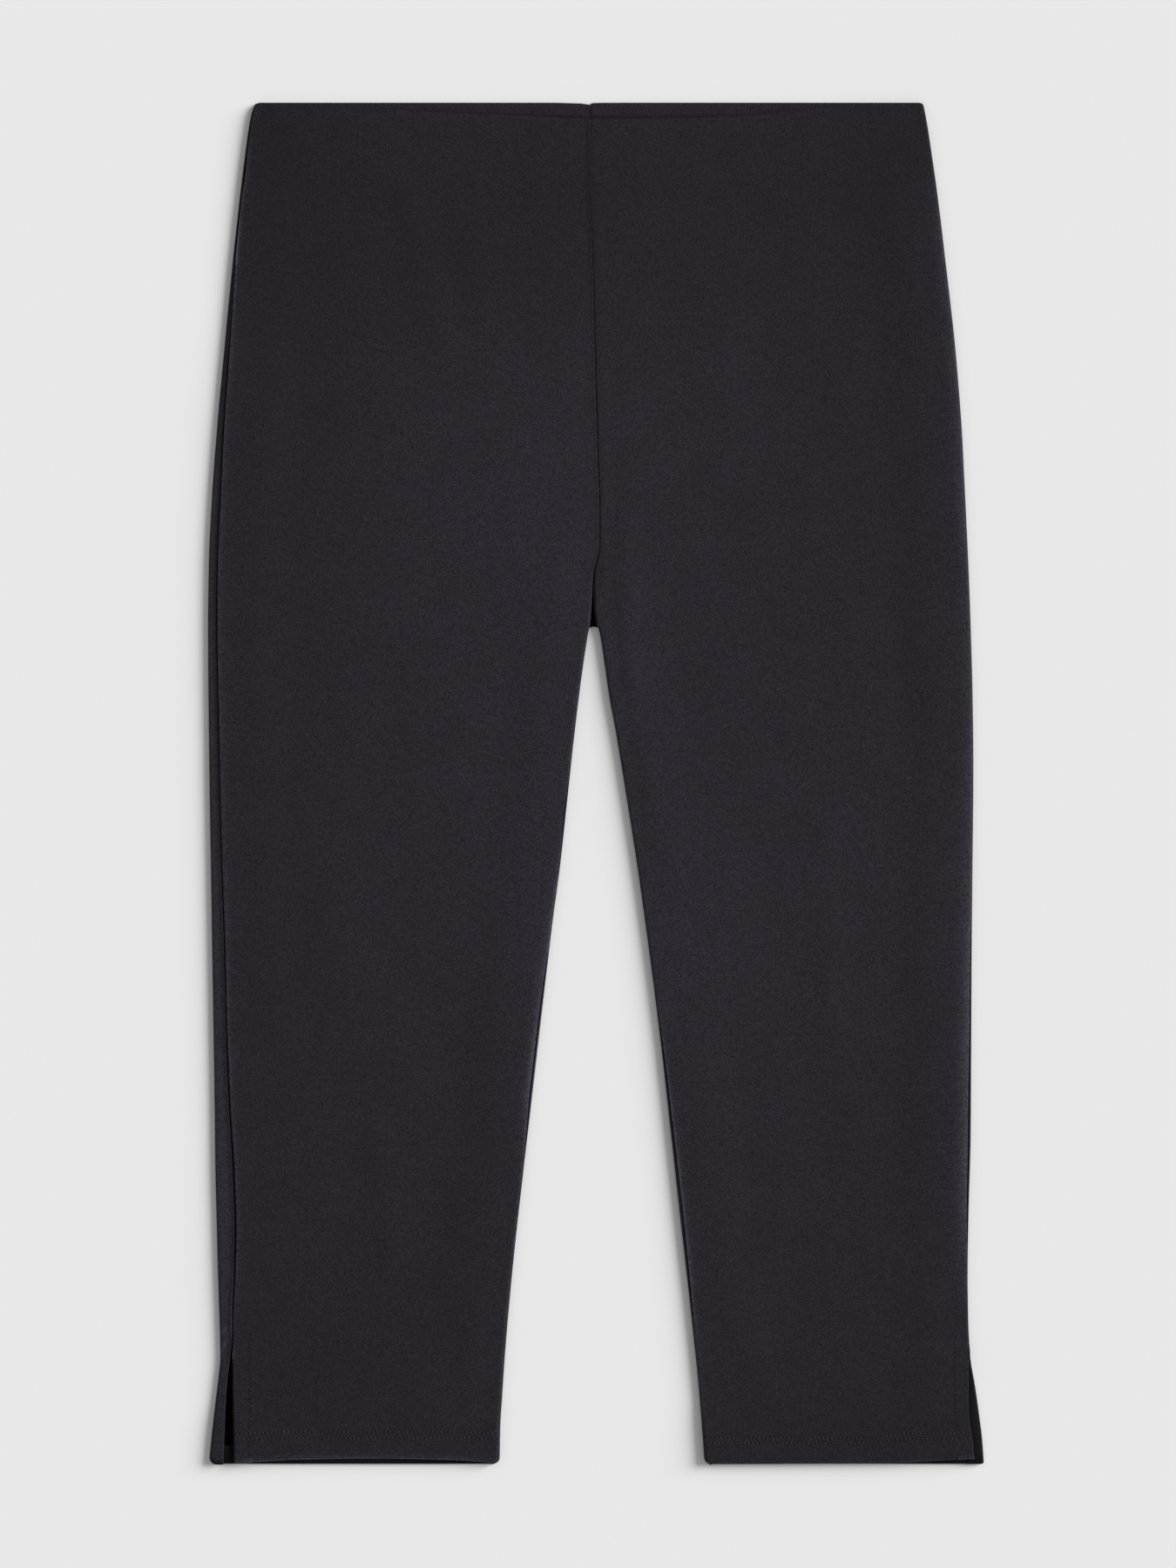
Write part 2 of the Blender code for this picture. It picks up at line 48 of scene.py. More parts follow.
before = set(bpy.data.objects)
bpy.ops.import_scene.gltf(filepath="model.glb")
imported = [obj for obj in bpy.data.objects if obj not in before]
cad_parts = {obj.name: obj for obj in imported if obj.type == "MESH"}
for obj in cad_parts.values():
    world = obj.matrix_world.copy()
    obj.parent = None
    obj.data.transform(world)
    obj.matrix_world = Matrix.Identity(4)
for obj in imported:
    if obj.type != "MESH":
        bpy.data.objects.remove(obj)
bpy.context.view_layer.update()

MM = 0.001  # metres in a millimetre
LENGTH = 867.6  # from the back waist edge to the back hem
WALL = 1.1  # the cloth's thickness
RIM_WIDTH = 0.3  # of its rounded rims
RIM_ANGLE = math.radians(50)  # between two faces that meet at a rim, at least
GAP = 0.3  # between two pieces
SEAM_ROOM = 1.3 * GAP  # between the two panels' ends on a rolled edge
UP, DOWN = (0, 0, 1), (0, 0, -1)
ROLL = 1.6  # radius of the rolled edges, to the middle of the cloth
SIDE_ROLL = 1.2  # the same where the right side is folded onto the front
HEM_ROLL = 2.1  # the same at the hems
FRONT_RISE = 0.3  # how much the front stands up beside the centre seam
SEAM_RADIUS = 0.9  # bend of the cloth into the centre seam
SEAM_TURN = math.radians(55)
WAIST_TURN = 0.4  # share of that turn at the waist
SEAM_DEEPENS = (10, 180)  # places down between which it grows to the whole
DITCH_RADIUS = 1.3  # bend of the cloth into the side seam where it lies flat
DITCH_TURN = math.radians(48)
RIM_LIFT = 1.8  # how high the front stands over the folded side where it turns down the furthest
RIM_TURN = math.radians(90)  # how far that is
RIM_RADIUS = 1.4
HEM_TOP = 845  # where the turned-up hem ends
SLIT_TOP = 801  # where the turned-back slit edges start
WAIST_CORNER = 2.2  # radius of a waist corner
SEAM_GAP = 0.14  # between the edges of the centre front seam
CLOSED_GAP = 0.04  # between the edges of the centre back seam
CENTRE_BACK = -3.15  # that seam's place out at the waist
CORNER = 4.0  # radius of a hem corner at a rolled edge
SLIT_CORNER = 2.2  # the same where the back lies open at the slit
FACING_DEPTH = 42
FACING_DROP = 0.7  # of the facing's edge under the back waist edge
WAIST_EASE = 60.0  # length over which the waist edge's shape fades out down the panel
EDGE_BAND = 16.0  # width beside an edge that lies as high as the edge
EDGE_EASE = 34.0  # width over which the cloth then comes to the height of the middle
LAYER = WALL + GAP  # from the middle of one layer to the next
FLOOR = WALL / 2  # height of the middle of the cloth that lies on the surface
FOLD = LAYER / 2  # radius of a turned edge

LEAD = 1.0  # straight run in front of each edge's bend
OPEN_LEAD = 5.0  # the same where the edge lies open
EDGE_STEPS = 13  # along an edge's lead and bend
RUN_STEPS = 5  # along the run after it
HEM_START = 5.8  # in from a turned slit edge, where the hem's turning starts
BESIDE_EDGE = (1.3, 3.0, 5.5, HEM_START, 9.0, 13.5, 19.0, 26.0)  # columns near an edge, in from it
MIDDLE_STEPS = 40  # between those of the two sides
FOLD_STEPS = 8  # round a turned edge
START_TURN = 0.2  # how far a turned edge is turned where it starts
ROW_STEP = 4.5
FINE_STEP = 1.5  # the same at the tops of the slits
FINE_ROWS = (779, 797)  # where the rows are that close
KEY_ROWS = (0, 1.2, 3, 6, FACING_DEPTH, 297, 311, 322, 330, 333.6, 334.2, 341, *FINE_ROWS)
KEY_ROWS += (SLIT_TOP - GAP, SLIT_TOP, HEM_TOP, LENGTH)

# Painted shade down between the layers, where little light comes.
BURIED = (0.5, 2.4)  # how far under the front's middle its cloth starts and ends getting the painted shade
BURIED_TONE = 0.25
HEM_TONE = 0.09  # painted shade of the back where it shows past the front's raised hem
SLIT_TONE = 0.24  # painted shade at the bottom of the right slit beside the hem
WAIST_TONE = 0.5  # painted shade along the back's waist edge
STRIP_LEVEL = 2.2 * SIDE_ROLL  # height over which the right back is the strip folded onto the front
SLIT_BOTTOM = (-2, 5)  # how far past the strip's and the front's edges the right slit's bottom gets painted shade
SLIT_DARK = (787, 857)  # places down where hardly any light comes to it
SLIT_DIM = 855  # place down where it starts to be a little less dark
CROTCH_DARK = (290, 336)  # places down where hardly any light comes into the crotch
CROTCH_MIDDLE = -1  # its place out
CROTCH_REACH = 7
PAINTED_RIM_EASE = 50  # length over which a painted rim band fades at both ends


def table_of(kind, *rows):
    """A table of rows of one kind."""
    return tuple(kind(*row) for row in rows)


# An outer side. edge: the outline's place out. seam: how far in from it the front panel starts, less than
# nothing where the seam hides under the edge. roll: the rolled edge's radius. lift: how far the front stands
# over the folded back. slit: how much further out the back panel ends. front_open and back_open: 0 where a
# panel is sewn to the other and 1 where it lies open at the slit.
Side = namedtuple("Side", "down edge seam roll lift slit front_open back_open", defaults=(ROLL, 0, 0, 0, 0))
RIGHT_SIDE = table_of(
    Side,
    (0, 217.2, 0.9, 1.45), (6, 219.5, 0.9, 1.45), (15, 221.1, 0.8, 1.45), (35, 223.8, 1.3, 1.45),
    (48, 225.4, 1.8, 1.4), (62, 227, 1.2, 1.4), (95, 230.7, 1.7, 1.3),
    (130, 234.2, 2.8, SIDE_ROLL, 0.5), (168, 237.8, 3.9, SIDE_ROLL, 1.3),
    (210, 241.6, 4.8, SIDE_ROLL, 1.8), (251, 244.6, 5.8, SIDE_ROLL, 1.8),
    (293, 246.6, 5.9, SIDE_ROLL, 1.8), (334, 247.1, 6.1, SIDE_ROLL, 1.8),
    (434, 246.2, 6.9, SIDE_ROLL, 1.7), (484, 245.4, 7.4, SIDE_ROLL, 1.4),
    (534, 244.6, 8.2, SIDE_ROLL, 0.7), (584, 243.8, 8.6, SIDE_ROLL, 0.2),
    (634, 243, 9.7, SIDE_ROLL, 0.1), (684, 242.4, 12, SIDE_ROLL, 0.1),
    (712, 241.7, 12.4, SIDE_ROLL, 0.1), (740, 241, 11.3, SIDE_ROLL, 0.1),
    (780, 239.7, 8.5, SIDE_ROLL, 0.3), (787, 239.5, 8.4, SIDE_ROLL, 0.3),
    (800, 239.3, 7.8, SIDE_ROLL, 0.2, 0.9, 1), (810, 240.2, 8.8, SIDE_ROLL, 0.4, 2.3, 1),
    (825, 242, 10.7, SIDE_ROLL, 0.7, 3.7, 1), (845, 244.3, 13.4, ROLL, 1.5, 4.9, 1),
    (LENGTH, 246.2, 15.8, ROLL, 1.5, 6.2, 1),
)
LEFT_SIDE = table_of(
    Side,
    (0, 208.9, -0.5), (6, 210.1, -0.5), (15, 211.6, -0.5), (35, 214.5, -0.5), (62, 218.1, -0.5),
    (107, 223.5, -0.5), (157, 229.1, -0.5), (212, 233.4, -0.3), (252, 235.4, 0.3),
    (290, 237.2, -0.3), (323, 238.5, -0.5), (379, 240.1, -0.5), (423, 240.6, -0.5), (490, 240, 0),
    (540, 239.5, 1), (600, 239.2, 1.5), (656, 238.9, 2), (712, 237.4, 1.3), (744, 236.9, 0.3),
    (773, 237.2, -0.3), (788, 237.8, -0.5), (794, 238.2, 0.2, ROLL, 0.9, 0, 0.3, 0.7),
    (801, 238.8, 1.3, ROLL, 1.5, 0, 1, 1), (818, 241.7, 4.3, ROLL, 1.5, 0, 1, 1),
    (840, 244.8, 6.9, ROLL, 1.5, 0, 1, 1), (853, 246.3, 6.4, ROLL, 1.5, 0, 1, 1),
    (LENGTH, 247.3, 6.3, ROLL, 1.5, 0, 1, 1),
)

# The inner side of a leg, and the centre seams above it, as places along X. flat is 1 at a centre seam, where
# two panels meet in one layer, and 0 where the leg's edge is rolled.
Inner = namedtuple("Inner", "down front front_flat back back_flat seam roll", defaults=(-0.5, ROLL))


def leg(down, place, seam=-0.5, roll=ROLL):
    """A row below the crotch, where both panels end at one place."""
    return Inner(down, place, 0, place, 0, seam, roll)


CENTRE = table_of(
    Inner,
    (0, -3.4, 1, -3.3, 1), (24, -4.4, 1, -3.2, 1), (65, -4.4, 1, -3, 1), (74, -3.4, 1, -3, 1),
    (103, -2.2, 1, -2.7, 1), (170, -0.6, 1, -2.2, 1), (201, 0.3, 1, -2, 1), (232, 1.1, 1, -1.7, 1),
    (250, 2, 1, -1.5, 1), (282, 2.1, 1, -1.4, 1), (291, 0.6, 0.8, -1.3, 1),
    (297, -1.3, 0.6, -1.2, 1),
)
RIGHT_INNER = CENTRE + table_of(
    Inner,
    (311, -2.1, 0.3, -1.2, 1), (322, -2.8, 0.1, -1.2, 1), (333.6, -3.7, 0, -1.2, 1),
    (334.2, -4.1, 0, -4.1, 0.1),
)
RIGHT_INNER += table_of(
    leg,
    (341, -5.4), (379, -10.8), (423, -15.9, 0.3), (455, -19.3, 1), (490, -23.2, 0.2),
    (518, -27, -0.3), (573, -33.6, 1.6), (629, -40.1, 1.8), (684, -46.5, -0.2), (734, -52.1),
    (788, -57.1), (823, -59.6), (845, -60.9, -0.5, HEM_ROLL), (LENGTH, -61.2, -0.5, HEM_ROLL),
)
LEFT_INNER = tuple(r._replace(front=round(r.front + GAP, 1), back=round(r.back + GAP, 1)) for r in CENTRE)
LEFT_INNER += table_of(
    Inner,
    (311, -1.35, 0.3, -0.9, 1), (322, -0.95, 0.1, -0.9, 1), (333.6, 0.8, 0, -0.9, 1),
    (334.2, 1.4, 0, 1.4, 0.1),
)
LEFT_INNER += table_of(
    leg,
    (357, 5.4), (379, 8.6), (401, 12.7), (445, 19.9), (490, 26.9), (545, 34.5, -0.2),
    (601, 41.6, 1.1), (656, 47.7, 1.9), (712, 53.9, 2.2), (767, 60.2, 1), (823, 65.9, -0.3),
    (845, 67.6, -0.5, HEM_ROLL), (LENGTH, 69, -0.5, HEM_ROLL),
)

# The middle of the front panels over the surface: three layers at the waist, two down the leg and four at the
# hem, with a little air between them.
Height = namedtuple("Height", "down level")
FRONT_LEVEL = table_of(
    Height,
    (0, FLOOR + 2 * LAYER), (FACING_DEPTH, FLOOR + 2 * LAYER), (75, 2.5), (200, 2.4), (330, 2.7),
    (420, 2.5), (700, 2.5), (780, 2.9), (842, FLOOR + 3 * LAYER), (LENGTH, FLOOR + 3 * LAYER),
)

# The waist and hem edges along X: how far down the waist edges lie, and how far up the hems end.
Waist = namedtuple("Waist", "out down")
FRONT_WAIST = table_of(
    Waist,
    (-219, 0.6), (-180, 1.7), (-145, 3.7), (-108, 6.2), (-39, 9.2), (-3.3, 10.9), (87, 9.3),
    (123, 5.9), (154, 2.4), (167, 0.9), (209, 0.6),
)
BACK_WAIST = table_of(
    Waist,
    (-219, 0), (-26, 0), (-16, 0.3), (-9, 0.5), (-3.4, 1.35), (-2.6, 0.25), (4, 0.05), (30, 0),
    (209, 0),
)
FACING_EDGES = (4, 5)  # the rows where the two facings meet
Hem = namedtuple("Hem", "out up")
BACK_HEM = table_of(Hem, (-231, 0), (242, 0))
FRONT_HEM = table_of(
    Hem,
    (-231, 0.4), (-214, 1.7), (-190, 3), (-141, 3.7), (-91, 2.7), (-70, 1.4), (-61, 0.3),
    (69, 0.2), (188, 0.9), (220, 2.5), (242, 3.6),
)

# A soft ridge, or a trough where its height is less than nothing, along a line.
Crease = namedtuple("Crease", "out down to_out to_down half height")
FRONT_CREASES = table_of(
    Crease,
    (15, 262, 22, 372, 5, 0.9), (24, 380, 38, 470, 6, 0.5), (9, 170, 12, 300, 5, -0.35),
    (-52, 190, -40, 330, 30, 0.7), (79, 150, 86, 205, 24, 0.6), (-92, 95, -86, 150, 8, -0.25),
    (-120, 60, -96, 165, 10, 0.3), (80, 500, 84, 565, 17, 0.7), (101, 462, 104, 492, 13, -0.4),
    (144, 455, 150, 600, 9, 0.45), (138, 630, 141, 662, 15, -0.4), (190, 330, 206, 420, 12, -0.3),
    (-185, 470, -160, 560, 22, 0.5), (-110, 560, -84, 640, 18, -0.35),
    (-140, 655, -128, 735, 9, 0.4), (-78, 788, -80, 834, 4, 0.5), (112, 715, 96, 790, 12, 0.35),
)
BACK_CREASES = table_of(
    Crease,
    (-120, 240, -90, 420, 20, 0.25), (-60, 150, -40, 300, 16, 0.2),
    (-170, 520, -150, 660, 14, 0.25), (70, 190, 110, 330, 18, 0.25), (150, 430, 130, 590, 16, 0.2),
    (180, 640, 170, 740, 12, 0.25),
)

# Lighter and darker places of the cloth: partly its own uneven tone, and partly painted light and shade, such
# as a lighter middle, a darker top and corners, and painted shade beside the centre seam above the crotch.
Tone = namedtuple("Tone", "out down across along amount")
TONES = table_of(
    Tone,
    (-60, 250, 100, 150, 0.13), (-50, 265, 50, 95, 0.06), (60, 300, 110, 170, 0.05),
    (64, 195, 42, 42, 0.08), (0, 460, 260, 260, 0.03), (-34, 490, 46, 130, 0.18),
    (-110, 450, 60, 110, 0.04), (75, 500, 60, 130, 0.07), (24, 365, 16, 50, 0.12),
    (47, 540, 26, 60, 0.18), (-206, 430, 22, 300, -0.13), (-206, 90, 34, 110, -0.06),
    (-70, 105, 110, 50, -0.07), (2.5, 297, 3.5, 9, -0.35), (160, 120, 60, 130, -0.05),
    (160, 500, 75, 110, 0.09), (226, 480, 20, 170, 0.06), (-190, 150, 62, 210, -0.11),
    (0, 40, 300, 90, -0.10), (-90, 90, 45, 50, -0.05), (-205, 20, 50, 60, -0.06),
    (200, 25, 50, 60, -0.12), (-210, 10, 30, 25, -0.06), (-150, 740, 90, 90, -0.04),
    (150, 800, 90, 80, -0.06), (-180, 805, 90, 60, -0.12), (-130, 865, 120, 24, -0.08),
    (150, 862, 120, 30, -0.12), (215, 850, 40, 30, -0.07), (0, 850, 400, 50, -0.035),
)

# Narrow painted highlights, where the cloth is puckered at the slit's top.
MARKS = table_of(
    Crease,
    (-234, 785.5, -238.2, 794.5, 0.8, 0.7), (-235.4, 780.5, -237.6, 783.5, 0.8, 0.6),
    (-237.6, 783.5, -237.8, 787, 0.6, 0.5),
)

# Bands of painted highlight beside the front's edges, where the rolled edges catch the light, and of painted
# shade where the amount is less than nothing. width is where the band has faded to a third.
Rim = namedtuple("Rim", "side inner start end width amount")
RIMS = table_of(
    Rim,
    (-1, True, -60, 345, 1.4, -0.7), (1, True, -60, 335, 2.3, -0.25),
    (-1, True, -60, 345, 0.4, 0.95), (1, True, -60, 335, 0.5, 0.5),
    (-1, True, 330, 880, 2.5, 0.35), (-1, True, 470, 690, 4.2, 0.8), (-1, True, 545, 670, 1.8, 2),
    (1, True, 290, 600, 1.5, 1.5), (-1, True, 330, 880, 0.9, -0.7), (1, True, 550, 880, 1.3, 1.8),
    (1, True, 620, 880, 3.5, 0.35), (1, False, 30, 775, 5.4, 0.8), (1, False, -60, 590, 1, -0.9),
    (1, False, 190, 310, 5, 0.35), (1, False, 380, 740, 7, 0.45), (1, False, 490, 740, 2.6, 1.2),
    (1, False, 690, 880, 1.2, -0.6), (-1, False, -60, 120, 0.7, -1.1),
    (-1, False, -60, 120, 2.2, 0.55), (-1, False, 10, 130, 1, 1.6), (-1, False, 70, 640, 1, 5.4),
    (-1, False, 740, 800, 0.5, 4), (-1, False, 590, 830, 1, 2.6), (-1, False, 100, 790, 3, 0.6),
)
HEM_RIM = 3.0  # the painted highlight's amount along the front hems' folds
HEM_RIM_WIDTH = 0.9

# The upper row of stitches along the hems with the gap to the lower one, and the row beside each slit.
Row = namedtuple("Row", "out down gap")
HEM_ROWS_RIGHT = table_of(
    Row,
    (-231, 848.3, 3.9), (-218, 847.5, 3.7), (-205, 846.9, 3.6), (-85, 846.8, 3.5), (-60, 848, 3.7),
)
HEM_ROWS_LEFT = table_of(
    Row,
    (67, 850.3, 3.5), (125, 850, 4.1), (163, 850.6, 3.6), (181, 849.4, 3.4), (200, 847.7, 3.4),
    (240, 847.2, 3.5),
)
Slit = namedtuple("Slit", "down out")
SLIT_ROW_RIGHT = table_of(Slit, (783, -220.2), (845, -220.2), (853, -220.8), (862, -221))
SLIT_ROW_LEFT = table_of(
    Slit,
    (786, 228.4), (829, 228.5), (836, 229.5), (846, 230.6), (854.5, 233.4), (862, 234),
)
ROW_REACH = 20  # how far from a row the cloth's distance from it is noted
ROW_INSETS = (1, 3)  # of the stitches from the two ends of a hem row
STITCH_SHARE = 0.24  # half a stitch's length for each length of its pitch
STITCH_SLANT = 0.7  # how far a stitch's ends lie to its sides, for each half of its thickness
STITCH_ARCH = 0.5  # how far its middle rises, for each half of its thickness
BAR_STITCHES = 4  # at a slit's top
BAR_START = 1.3  # from the row beside the slit to the first of them
BAR_PITCH = 1.9
BAR_DROP = 0.6  # how far down they lie from the row's end
BAR_STITCH = ((1, 0.05), 0.9)  # a stitch's direction, and its length for each length of a row's
SEAM_STITCHES = 4  # on each side of the centre back seam
SEAM_STITCH_START = 3.2  # the first one's place down
SEAM_STITCH_PITCH = 1.7
SEAM_STITCH_OUT = 0.55  # how far they lie from the facing's edge
SEAM_STITCH = ((1, 0.3), 0.4)

# The floor, the light and the camera. The floor's and the view's sizes are in metres.
FLOOR_SIZE = 12
FLOOR_DROP = 0.0002  # of the floor under the cloth
SUN_SPREAD = math.radians(36)
SUN_HEIGHT = math.radians(24)  # over the floor
SUN_TURN = math.radians(20)
SKY = 0.38  # brightness of the white surroundings
VIEW = 0.9985  # the view's longer side at the height of the cloth
VIEW_LEVEL = 0.004  # that height
VIEW_MIDDLE = (-0.0050, -0.0005)
LENS, SENSOR = 100, 36  # in millimetres

# One edge of a cross-section: where its bend starts, which way it faces, the height it starts at, whether it
# turns up (1) or down (-1), the bend's radius and angle, and the straight runs of cloth after and before it.
Bend = namedtuple("Bend", "start facing level rise radius turn run lead")
# A point of a cross-section, and one of a sheet. across and along are places on the cloth before it was bent.
Spot = namedtuple("Spot", "x z across")
Point = namedtuple("Point", "x y z across along")


class CapriSizes(PropertyGroup):
    """Sizes and colours of the garment's cloth and thread."""

    knit_pitch: FloatProperty(
        name="Knit pitch", description="Width of a column of knit loops", default=0.0009, unit="LENGTH"
    )
    knit_contrast: FloatProperty(
        name="Knit contrast", description="How much the yarn's tone varies", default=0.43, subtype="FACTOR"
    )
    stitch_pitch: FloatProperty(
        name="Stitch pitch", description="Length of a sewing stitch", default=0.0027, unit="LENGTH"
    )
    thread: FloatProperty(
        name="Thread", description="Thickness of the sewing thread", default=0.0005, unit="LENGTH"
    )
    cloth: FloatVectorProperty(
        name="Cloth", description="Colour of the cloth", default=(0.0153, 0.0133, 0.0182), subtype="COLOR"
    )
    inside: FloatVectorProperty(
        name="Inside", description="Colour of the facing", default=(0.0170, 0.0125, 0.0187), subtype="COLOR"
    )
    thread_colour: FloatVectorProperty(
        name="Hem thread", description="Colour of the hem rows",
        default=(0.040, 0.036, 0.045), subtype="COLOR",
    )
    # The slit rows' thread is darker than the hem rows'.
    darker_thread: FloatVectorProperty(
        name="Slit thread", description="Colour of the slit rows",
        default=(0.024, 0.021, 0.027), subtype="COLOR",
    )
    floor: FloatVectorProperty(
        name="Floor", description="Colour of the floor", default=(0.80, 0.80, 0.80), subtype="COLOR"
    )
    light: FloatProperty(name="Light", description="Strength of the soft light", default=4.89)


def between(table, place):
    """The row of a table at a place, on curves through its rows that never swing past them."""
    places = [row[0] for row in table]
    k = min(max(bisect_right(places, place) - 1, 0), len(table) - 2)
    span = places[k + 1] - places[k]
    t = min(max((place - places[k]) / span, 0), 1)

    def slope(n, column):
        """The steepness of a column between two rows."""
        return (table[n + 1][column] - table[n][column]) / (places[n + 1] - places[n])

    def tangent(n, column):
        """The steepness of a column's curve at a row: none where the column turns back."""
        if n in (0, len(table) - 1):
            return slope(min(n, len(table) - 2), column)
        before, after = slope(n - 1, column), slope(n, column)
        return 2 * before * after / (before + after) if before * after > 0 else 0

    values = [place]
    for column in range(1, len(table[0])):
        low, high = table[k][column], table[k + 1][column]
        ease = t * t * (3 - 2 * t)
        lean = t * (1 - t) * span * ((1 - t) * tangent(k, column) - t * tangent(k + 1, column))
        values.append(low + (high - low) * ease + lean)
    return type(table[0])(*values)


def fade(place, start, end):
    """0 before a stretch, 1 after it, and even steps between."""
    return min(max((place - start) / (end - start), 0), 1)


def mix(first, second, share):
    """A value some share of the way from one to another."""
    return first + (second - first) * share


def reach(radius):
    """How far a rolled edge's outline lies from the centre of its bend."""
    return radius + WALL / 2


def rolled_seam(seam, radius):
    """How far the front turns down, and the back up, to a seam on a rolled edge."""
    if seam < 0:
        down = math.pi / 2 - seam / radius
    else:
        down = math.asin(max(1 - seam / reach(radius), 0))
    return down, math.pi - down - SEAM_ROOM / (radius - WALL / 2)


def front_outer(side, row, turning):
    """The front's bend at the side seam, or its open edge at the slit, with room for a turning."""
    over = min(row.lift / RIM_LIFT, 1)
    if row.seam < reach(row.roll):
        down, _ = rolled_seam(row.seam, row.roll)
        turn, radius = mix(down, 0, row.front_open), row.roll
    else:
        turn = mix(mix(DITCH_TURN, RIM_TURN, over), 0, row.front_open)
        radius = mix(DITCH_RADIUS, RIM_RADIUS, over)
    end = row.edge - max(row.seam, 0) - turning
    start = end - reach(radius) * math.sin(min(turn, math.pi / 2))
    top = mix(2 * row.roll, 2 * LAYER, row.front_open) + row.lift + FLOOR
    return Bend(side * start, side, top, -1, radius, turn, 0, mix(LEAD, OPEN_LEAD, row.front_open))


def back_outer(side, row, turning):
    """The back's bend at the side fold and the strip that lies on the front, or its open edge at the slit."""
    run = 0
    if row.seam < reach(row.roll):
        _, turn = rolled_seam(row.seam, row.roll)
    else:
        turn = math.pi - GAP / row.roll
        run = max(row.seam - row.slit - GAP - reach(row.roll), 0) * (1 - row.back_open)
    start = row.edge - reach(row.roll) * (1 - row.back_open) - turning
    lead = mix(LEAD, OPEN_LEAD, row.back_open)
    return Bend(side * start, side, FLOOR, 1, row.roll, turn * (1 - row.back_open), run, lead)


def front_inner(side, row, level):
    """The front's bend at the centre seam or the inseam."""
    down, _ = rolled_seam(row.seam, row.roll)
    turn = mix(down, SEAM_TURN * mix(WAIST_TURN, 1, fade(row.down, *SEAM_DEEPENS)), row.front_flat)
    radius = mix(row.roll, SEAM_RADIUS, row.front_flat)
    out = row.front - side * max(row.seam, 0) * (1 - row.front_flat)
    out += side * (GAP - SEAM_GAP) / 2 * row.front_flat
    start = out - side * reach(radius) * math.sin(min(turn, math.pi / 2))
    top = mix(FLOOR + 2 * row.roll, level + FRONT_RISE, row.front_flat)
    return Bend(start, side, top, -1, radius, turn, 0, LEAD)


def back_inner(side, row):
    """The back's bend at the centre seam or the inseam."""
    _, turn = rolled_seam(row.seam, row.roll)
    start = row.back - side * reach(row.roll) * (1 - row.back_flat)
    start += side * (GAP - CLOSED_GAP) / 2 * row.back_flat
    return Bend(start, side, FLOOR, 1, row.roll, turn * (1 - row.back_flat), 0, LEAD)


def bend_spots(bend):
    """Spots along an edge, from its straight lead to its end."""
    arc = bend.turn * bend.radius
    whole = bend.lead + arc + bend.run
    tail = max(bend.run, whole * RUN_STEPS / (EDGE_STEPS + RUN_STEPS))
    stops = [(whole - tail) * k / EDGE_STEPS for k in range(EDGE_STEPS)]
    stops += [whole - tail + tail * k / RUN_STEPS for k in range(RUN_STEPS + 1)]
    spots = []
    for stop in stops:
        lead = min(stop - bend.lead, 0)
        angle = min(max(stop - bend.lead, 0) / bend.radius, bend.turn)
        run = max(stop - bend.lead - arc, 0)
        along = lead + bend.radius * math.sin(angle) + run * math.cos(bend.turn)
        lift = bend.radius * (1 - math.cos(angle)) + run * math.sin(bend.turn)
        across = bend.start + bend.facing * (stop - bend.lead)
        spots.append(Spot(bend.start + bend.facing * along, bend.level + bend.rise * lift, across))
    return spots


def section(outer, inner, level, relief):
    """Spots across a panel, from its outer edge to its inner one."""
    first, last = bend_spots(outer), bend_spots(inner)
    across = last[0].x - first[0].x
    width = abs(across)
    near = [offset / width for offset in BESIDE_EDGE]
    inside = 1 - 2 * near[-1]
    shares = near + [near[-1] + inside * k / MIDDLE_STEPS for k in range(1, MIDDLE_STEPS)]
    shares += [1 - share for share in reversed(near)]
    middle = []
    for share in shares:
        x, z = first[0].x + across * share, level
        for distance, end in ((share * width, first[0].z), ((1 - share) * width, last[0].z)):
            eased = fade(distance, EDGE_BAND, EDGE_BAND + EDGE_EASE)
            z += (end - level) * (1 + math.cos(math.pi * eased)) / 2
        ease = fade(min(share, 1 - share) * width, 0, EDGE_BAND)
        middle.append(Spot(x, z + relief(x) * ease, x))
    return first[::-1] + middle + last


# Columns of a panel, counted from its outer edge.
FIRST_MIDDLE = EDGE_STEPS + RUN_STEPS + 1
LAST_OUTER = FIRST_MIDDLE + len(BESIDE_EDGE) - 1
LAST_MIDDLE = LAST_OUTER + len(BESIDE_EDGE) + MIDDLE_STEPS - 1
FIRST_HEM = FIRST_MIDDLE + BESIDE_EDGE.index(HEM_START)
FACING_COLUMN = FIRST_MIDDLE + 3  # where the facing starts


def stations():
    """Places down of a panel's rows."""
    rows = []
    for start, end in zip(KEY_ROWS, KEY_ROWS[1:]):
        steps = math.ceil((end - start) / (FINE_STEP if start == FINE_ROWS[0] else ROW_STEP))
        rows += [start + (end - start) * k / steps for k in range(steps)]
    return rows + [KEY_ROWS[-1]]


STATIONS = stations()


def corner(inside, radius):
    """How far up a rounded corner lifts the hem, at a distance in from the side."""
    short = min(max(radius - inside, 0), radius)
    return radius - math.sqrt(radius**2 - short**2)


def creases(table, down):
    """The height of the creases as a function of the place out, for one row of a panel."""
    spans = [(c, min(c.down, c.to_down) - 3 * c.half, max(c.down, c.to_down) + 3 * c.half) for c in table]
    close = [c for c, start, end in spans if start < down < end]

    def relief(x):
        """The creases' height at a place out."""
        height = 0
        for c in close:
            run_x, run_down = c.to_out - c.out, c.to_down - c.down
            t = ((x - c.out) * run_x + (down - c.down) * run_down) / (run_x**2 + run_down**2)
            t = min(max(t, 0), 1)
            away = math.hypot(x - c.out - run_x * t, down - c.down - run_down * t)
            height += c.height * math.exp(-((away / c.half) ** 2))
        return height

    return relief


